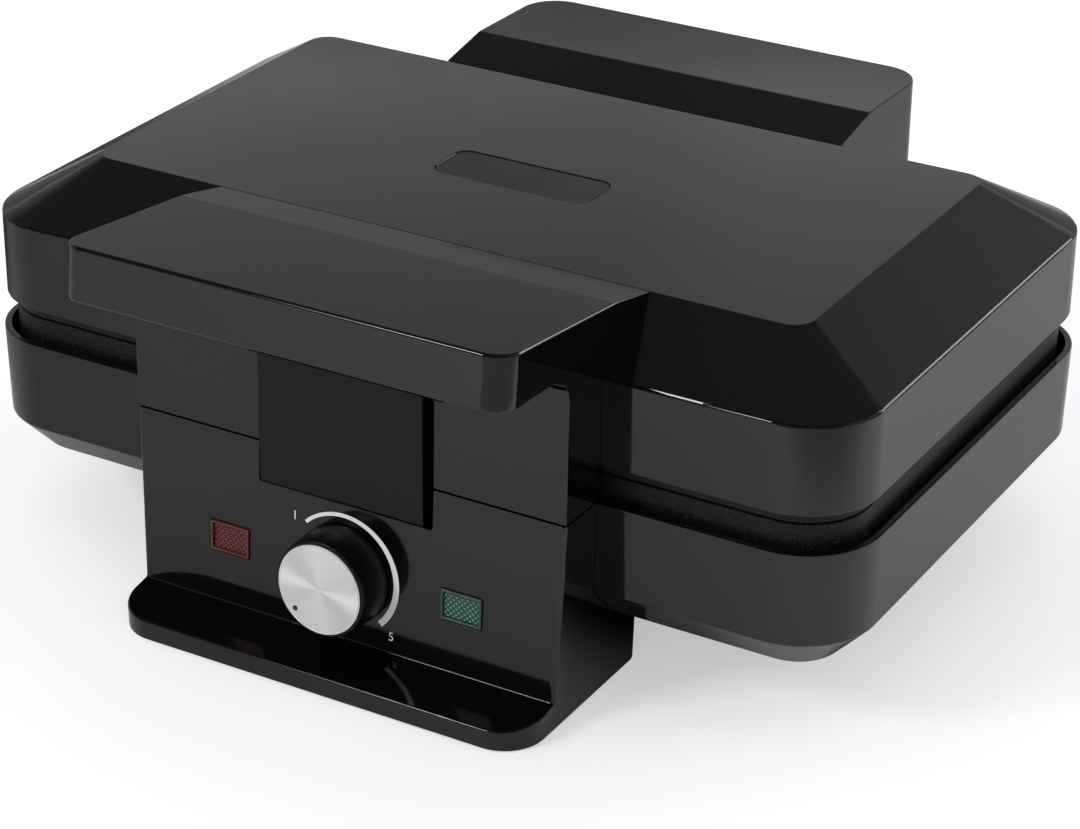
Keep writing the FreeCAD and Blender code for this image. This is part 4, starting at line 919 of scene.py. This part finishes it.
@dataclass(frozen=True)
class CrossScrew:
    """Pan-head screw with a cross recess, pointing down from its head at the origin."""

    head_radius: float
    head_height: float
    shank_radius: float
    length: float
    sides: int = 40
    edge_share: float = 0.22
    tip_taper: float = 0.35
    tip_length: float = 0.4
    recess_reach: float = 0.62
    recess_width: float = 0.2
    recess_depth: float = 0.55

    def model(self) -> bpy.types.Object:
        """Turn the head and shank, and cut the cross.

        Returns:
            The screw, with the top of its head at z = 0.
        """
        bpy.ops.object.select_all(action="DESELECT")
        middle = (0.0, 0.0, -self.head_height / 2)
        bpy.ops.mesh.primitive_cylinder_add(
            vertices=self.sides, radius=self.head_radius, depth=self.head_height, location=middle
        )
        screw = bpy.context.object
        bpy.ops.object.transform_apply(location=True, rotation=True, scale=True)
        with editing(screw):
            pick(screw, "faces", lambda face: face.normal.z < -FACING)
            bpy.ops.mesh.inset(thickness=self.head_radius - self.shank_radius)
            bpy.ops.mesh.extrude_region_move(
                TRANSFORM_OT_translate={"value": (0.0, 0.0, self.head_height - self.length)}
            )
            bpy.ops.mesh.inset(thickness=self.shank_radius * self.tip_taper)
            bpy.ops.transform.translate(value=(0.0, 0.0, -self.shank_radius * self.tip_length))
        cutter = self.make_cutter()
        cut = screw.modifiers.new("cross", "BOOLEAN")
        cut.object = cutter
        cut.solver = "EXACT"
        apply_all(screw)
        bpy.data.objects.remove(cutter)
        soften(screw, self.head_height * self.edge_share, 3)
        return screw

    def make_cutter(self) -> bpy.types.Object:
        """Two crossed bars.

        Returns:
            The cutter.
        """
        reach = self.head_radius * self.recess_reach
        wide = self.head_radius * self.recess_width
        deep = self.head_height * self.recess_depth
        bpy.ops.object.select_all(action="DESELECT")
        bpy.ops.mesh.primitive_cube_add(size=2.0)
        bar = bpy.context.object
        bar.scale = (wide, wide, deep)
        bpy.ops.object.transform_apply(location=True, rotation=True, scale=True)
        with editing(bar):
            for axis in (Vector((1, 0, 0)), Vector((-1, 0, 0)), Vector((0, 1, 0)), Vector((0, -1, 0))):
                pick(bar, "faces", lambda face: face.normal.dot(axis) > FACING)
                bpy.ops.mesh.extrude_region_move(
                    TRANSFORM_OT_translate={"value": tuple((reach - wide) * axis)}
                )
        return bar


@dataclass
class StudRow:
    """Row of waffle studs at the hinge end of both cooking plates."""

    base: float = 19.0 * MM
    top: float = 15.5 * MM
    height: float = 8.6 * MM
    root: float = 1.5 * MM
    edge: float = 0.7 * MM
    row: float = 77.25 * MM
    columns: tuple[float, ...] = (30.0 * MM, 56.0 * MM, 82.0 * MM, 108.0 * MM, 134.0 * MM)
    lower_floor: float = 70.5 * MM
    upper_floor: float = 96.9 * MM

    def build(self) -> None:
        """Set a row on each plate, with its tips towards the other plate."""
        for half, body, floor, turn in (
            ("lower", "base", self.lower_floor, 0.0),
            ("upper", "lid", self.upper_floor, math.pi),
        ):
            over = Matrix.Rotation(turn, 4, "X")
            middles = [side * column for side in (-1.0, 1.0) for column in self.columns]
            places = [Matrix.Translation((x, self.row, floor)) @ over for x in middles]
            row = set_out(self.model(), f"{half}_stud_row", places)
            finish_piece(row, f"{half}_stud_row", body, [Finish.NON_STICK])

    def model(self) -> bpy.types.Object:
        """Taper a block, give it a root in the plate and round it.

        Returns:
            The stud, with the plate's floor at z = 0.
        """
        bpy.ops.object.select_all(action="DESELECT")
        bpy.ops.mesh.primitive_cube_add(size=1.0)
        stud = bpy.context.object
        stud.location = (0.0, 0.0, self.height / 2)
        stud.scale = (self.base, self.base, self.height)
        bpy.ops.object.transform_apply(location=True, rotation=True, scale=True)
        share = self.top / self.base
        with editing(stud):
            pick(stud, "faces", lambda face: face.normal.z > FACING)
            bpy.ops.transform.resize(value=(share, share, 1.0))
            pick(stud, "faces", lambda face: face.normal.z < -FACING)
            bpy.ops.mesh.extrude_region_move(TRANSFORM_OT_translate={"value": (0.0, 0.0, -self.root)})
        soften(stud, self.edge)
        return stud


@dataclass
class Fasteners:
    """Screws that can be seen: under the base covers and in the cooking plates."""

    cover_front: Point = (75.0 * MM, -103.55 * MM, -69.95 * MM)
    cover_rear: Point = (75.3 * MM, 138.55 * MM, 89.45 * MM)
    cover_head: float = 0.6 * MM
    plate_reach: float = 66.0 * MM
    plate_middle: float = 9.75 * MM
    lower_head: float = 83.4 * MM
    upper_head: float = 84.0 * MM
    cover_screw: CrossScrew = CrossScrew(3.2 * MM, 1.1 * MM, 1.5 * MM, 13.0 * MM)
    plate_screw: CrossScrew = CrossScrew(4.0 * MM, 1.7 * MM, 2.0 * MM, 19.5 * MM)
    cover_turn: float = 137.0
    plate_turn: tuple[float, float] = (35.0, 50.0)

    def build(self) -> None:
        """Make the cover screws and the plate screws."""
        over = Matrix.Rotation(math.pi, 4, "X")
        places = []
        for reach, first, second in (self.cover_front, self.cover_rear):
            for x in (-reach, reach):
                for y in (first, second):
                    turn = Matrix.Rotation(math.radians(self.cover_turn * len(places)), 4, "Z")
                    places.append(Matrix.Translation((x, y, self.cover_head)) @ over @ turn)
        screws = set_out(self.cover_screw.model(), "cover_screws", places)
        finish_piece(screws, "cover_screws", "base", [Finish.STEEL], ["base_screws"])
        for half, body, height, flip in (
            ("lower", "base", self.lower_head, Matrix.Identity(4)),
            ("upper", "lid", self.upper_head, over),
        ):
            places = []
            for side in (-1.0, 1.0):
                middle = (0.0, self.plate_middle + side * self.plate_reach, height)
                angle = math.radians(self.plate_turn[0] + self.plate_turn[1] * side)
                turn = Matrix.Rotation(angle, 4, "Z")
                places.append(Matrix.Translation(middle) @ flip @ turn)
            node = f"{half}_plate_screws"
            screws = set_out(self.plate_screw.model(), node, places)
            finish_piece(screws, f"{node}_cross", body, [Finish.STEEL], [node])


@dataclass(frozen=True)
class SoftLamp:
    """One rectangular lamp that faces the object."""

    name: str
    place: Point
    size: tuple[float, float]
    watts: float
    target: Point = (0.0, 0.0, 80.0 * MM)

    def build(self) -> None:
        """Hang the lamp, out of the camera's sight."""
        bpy.ops.object.light_add(type="AREA", location=self.place)
        lamp = bpy.context.object
        lamp.name = self.name
        lamp.data.shape = "RECTANGLE"
        lamp.data.size, lamp.data.size_y = self.size
        lamp.data.energy = self.watts
        lamp.rotation_euler = (Vector(self.target) - Vector(self.place)).to_track_quat("-Z", "Y").to_euler()
        lamp.visible_camera = False


@dataclass
class Studio:
    """Pale floor, soft light and the camera at the photograph's angle."""

    floor_size: float = 8.0
    floor_colour: Colour = (0.62, 0.62, 0.62, 1.0)
    floor_lift: float = 0.47
    # Reflections see the floor's tone painted by place: painted light rising along one direction, painted
    # shade round a point beside the object and a painted dark patch to the left.
    painted_light_across: Point = (0.8, -0.6, 0.0)
    painted_light_fall: Stops = ((0.17, 0.6), (0.4, 0.75), (0.55, 0.95), (0.64, 1.05), (0.78, 1.25), (0.92, 0.7))
    shade_middle: Point = (0.1, 0.015, 0.0)
    shade_fall: Stops = ((0.055, 0.0), (0.1, 0.85), (0.3, 0.8))
    painted_dark_middle: Point = (-0.4, 0.16, 0.0)
    painted_dark_fall: Stops = ((0.12, 0.12), (0.3, 1.0))
    sky_rise: Stops = (
        (0.45, 0.18), (0.52, 0.24), (0.62, 0.25), (0.662, 0.3), (0.673, 0.68),
        (0.687, 0.5), (0.7, 0.39), (0.745, 0.27), (0.82, 0.1), (0.95, 0.12),
    )
    sky_sideways: Stops = ((0.2, 0.95), (0.25, 0.8), (0.277, 0.76), (0.305, 0.96), (0.34, 1.0))
    front_sky: float = 0.4
    front_span: tuple[float, float] = (-0.4, 0.1)
    sky_strength: float = 1.25
    ambient: float = 0.8
    key_lamp: SoftLamp = SoftLamp("key_lamp", (-0.75, -1.5, 1.3), (0.5, 0.45), 12.0)
    rim_lamp: SoftLamp = SoftLamp("rim_lamp", (1.1, 1.5, 0.7), (0.75, 0.9), 8.0)
    camera_place: Point = (0.5288, -0.90805, 0.57097)
    camera_azimuth: float = 30.19
    camera_elevation: float = 26.52
    camera_roll: float = 0.48
    lens: float = 108.66
    sensor: float = 36.0
    shift: tuple[float, float] = (0.0155, -0.0050)

    def build(self) -> None:
        """Set up everything that isn't part of the object."""
        self.make_floor()
        self.make_world()
        self.key_lamp.build()
        self.rim_lamp.build()
        self.make_camera()
        bpy.context.scene.view_settings.view_transform = "Standard"

    def make_floor(self) -> None:
        """Add the floor, white with the object's shadow from above and clear from below, and with painted
        light and shade in the tone that reflections see.
        """
        bpy.ops.object.select_all(action="DESELECT")
        bpy.ops.mesh.primitive_plane_add(size=self.floor_size)
        floor = bpy.context.object
        floor.name = "studio_floor"
        material, graph = new_material("studio_floor")
        rays = graph.add("LightPath")
        place = graph.add("TexCoord").outputs["Object"]
        # Painted light and shade that only glossy and transmission rays see; the camera sees the plain
        # floor colour.
        painted_light = graph.ramp(self.along(graph, place), self.painted_light_fall)
        # Painted shade beside the object and a painted dark patch to the left, multiplied into the painted
        # light.
        for middle, fall in ((self.shade_middle, self.shade_fall), (self.painted_dark_middle, self.painted_dark_fall)):
            away = graph.add("VectorMath", {"operation": "DISTANCE"})
            graph.put(away, 0, place)
            graph.put(away, 1, middle)
            painted_light = graph.product(painted_light, graph.ramp(away.outputs["Value"], fall))
        shiny = graph.math("MAXIMUM", rays.outputs["Is Glossy Ray"], rays.outputs["Is Transmission Ray"])
        tint = graph.blend(shiny, self.floor_colour, painted_light)
        diffuse = graph.add("BsdfDiffuse", None, Color=tint)
        white = graph.math("MULTIPLY", rays.outputs["Is Camera Ray"], self.floor_lift)
        lift = graph.add("Emission", None, Color=WHITE, Strength=white)
        both = graph.add("AddShader")
        graph.put(both, 0, diffuse.outputs["BSDF"])
        graph.put(both, 1, lift.outputs["Emission"])
        sides = graph.add("MixShader", None, Fac=graph.add("NewGeometry").outputs["Backfacing"])
        graph.put(sides, 1, both.outputs["Shader"])
        graph.put(sides, 2, graph.add("BsdfTransparent").outputs["BSDF"])
        graph.add("OutputMaterial", None, Surface=sides.outputs["Shader"])
        floor.data.materials.append(material)

    def along(self, graph: Graph, place: bpy.types.NodeSocket) -> bpy.types.NodeSocket:
        """How far a point of the floor lies towards the side where its reflected tone is painted brightest,
        with the middle at one half.

        Args:
            graph: Graph of the floor's material.
            place: Socket with the point.

        Returns:
            The distance's socket.
        """
        dot = graph.add("VectorMath", {"operation": "DOT_PRODUCT"})
        graph.put(dot, 0, place)
        graph.put(dot, 1, self.painted_light_across)
        return graph.middled(dot.outputs["Value"], 1.0)

    def make_world(self) -> None:
        """Light the scene evenly, show white to the camera and a soft studio in reflections."""
        world = bpy.data.worlds.new("studio")
        bpy.context.scene.world = world
        world.use_nodes = True
        graph = Graph(world.node_tree)
        direction = graph.add("TexCoord").outputs["Generated"]
        parts = graph.add("SeparateXYZ", None, Vector=direction)
        sky = graph.ramp(graph.middled(parts.outputs["Z"]), self.sky_rise)
        sideways = graph.ramp(graph.middled(parts.outputs["X"]), self.sky_sideways)
        behind = graph.add("MapRange", {"interpolation_type": "SMOOTHSTEP"})
        graph.put(behind, "Value", parts.outputs["Y"])
        graph.put(behind, "From Min", self.front_span[0])
        graph.put(behind, "From Max", self.front_span[1])
        graph.put(behind, "To Min", self.front_sky)
        tone = graph.product(sky, sideways)
        level = graph.math("MULTIPLY", behind.outputs["Result"], self.sky_strength)
        light = graph.add("Background", None, Color=WHITE, Strength=self.ambient)
        mirrored = graph.add("Background", None, Color=tone, Strength=level)
        white = graph.add("Background", None, Color=WHITE, Strength=1.0)
        rays = graph.add("LightPath")
        shiny = graph.math("MAXIMUM", rays.outputs["Is Glossy Ray"], rays.outputs["Is Transmission Ray"])
        inner = graph.add("MixShader", None, Fac=shiny)
        graph.put(inner, 1, light.outputs["Background"])
        graph.put(inner, 2, mirrored.outputs["Background"])
        outer = graph.add("MixShader", None, Fac=rays.outputs["Is Camera Ray"])
        graph.put(outer, 1, inner.outputs["Shader"])
        graph.put(outer, 2, white.outputs["Background"])
        graph.add("OutputWorld", None, Surface=outer.outputs["Shader"])

    def make_camera(self) -> None:
        """Add the camera where the photograph was taken from."""
        bpy.ops.object.camera_add(location=self.camera_place)
        camera = bpy.context.object
        camera.name = "photo_camera"
        camera.data.sensor_fit = "HORIZONTAL"
        camera.data.sensor_width = self.sensor
        camera.data.lens = self.lens
        camera.data.shift_x, camera.data.shift_y = self.shift
        turn = Matrix.Rotation(math.radians(self.camera_azimuth), 4, "Z")
        tilt = Matrix.Rotation(math.radians(90.0 - self.camera_elevation), 4, "X")
        roll = Matrix.Rotation(math.radians(self.camera_roll), 4, "Z")
        camera.rotation_euler = (turn @ tilt @ roll).to_euler()
        bpy.context.scene.camera = camera


def dress_solids(frame: dict[str, Any]) -> None:
    """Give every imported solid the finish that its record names.

    Args:
        frame: What the frame holds.
    """
    for part in frame["record"]["subparts"]:
        finish = NODE_FINISH.get(part["node"], SLOT_FINISH[part["material_slot"]])
        solid = frame["nodes"][part["node"]]
        for index in range(len(solid.data.materials)):
            solid.data.materials[index] = finish.material()
        LOG.info("%s: %s", part["node"], finish.value.name)


def main() -> None:
    """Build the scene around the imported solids."""
    logging.basicConfig(level=logging.INFO, format="%(message)s")
    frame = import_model()
    Studio().build()
    dress_solids(frame)
    Mouldings(frame).build()
    DialPrint().build()
    PilotLamp("red", -LAMP_SIDE, (Finish.RED_MARGIN, Finish.RED_VALLEY, Finish.RED_LENS)).build()
    PilotLamp("green", LAMP_SIDE, (Finish.GREEN_MARGIN, Finish.GREEN_VALLEY, Finish.GREEN_LENS)).build()
    KnobFace().build()
    StudRow().build()
    Fasteners().build()


if __name__ == "__main__":
    main()
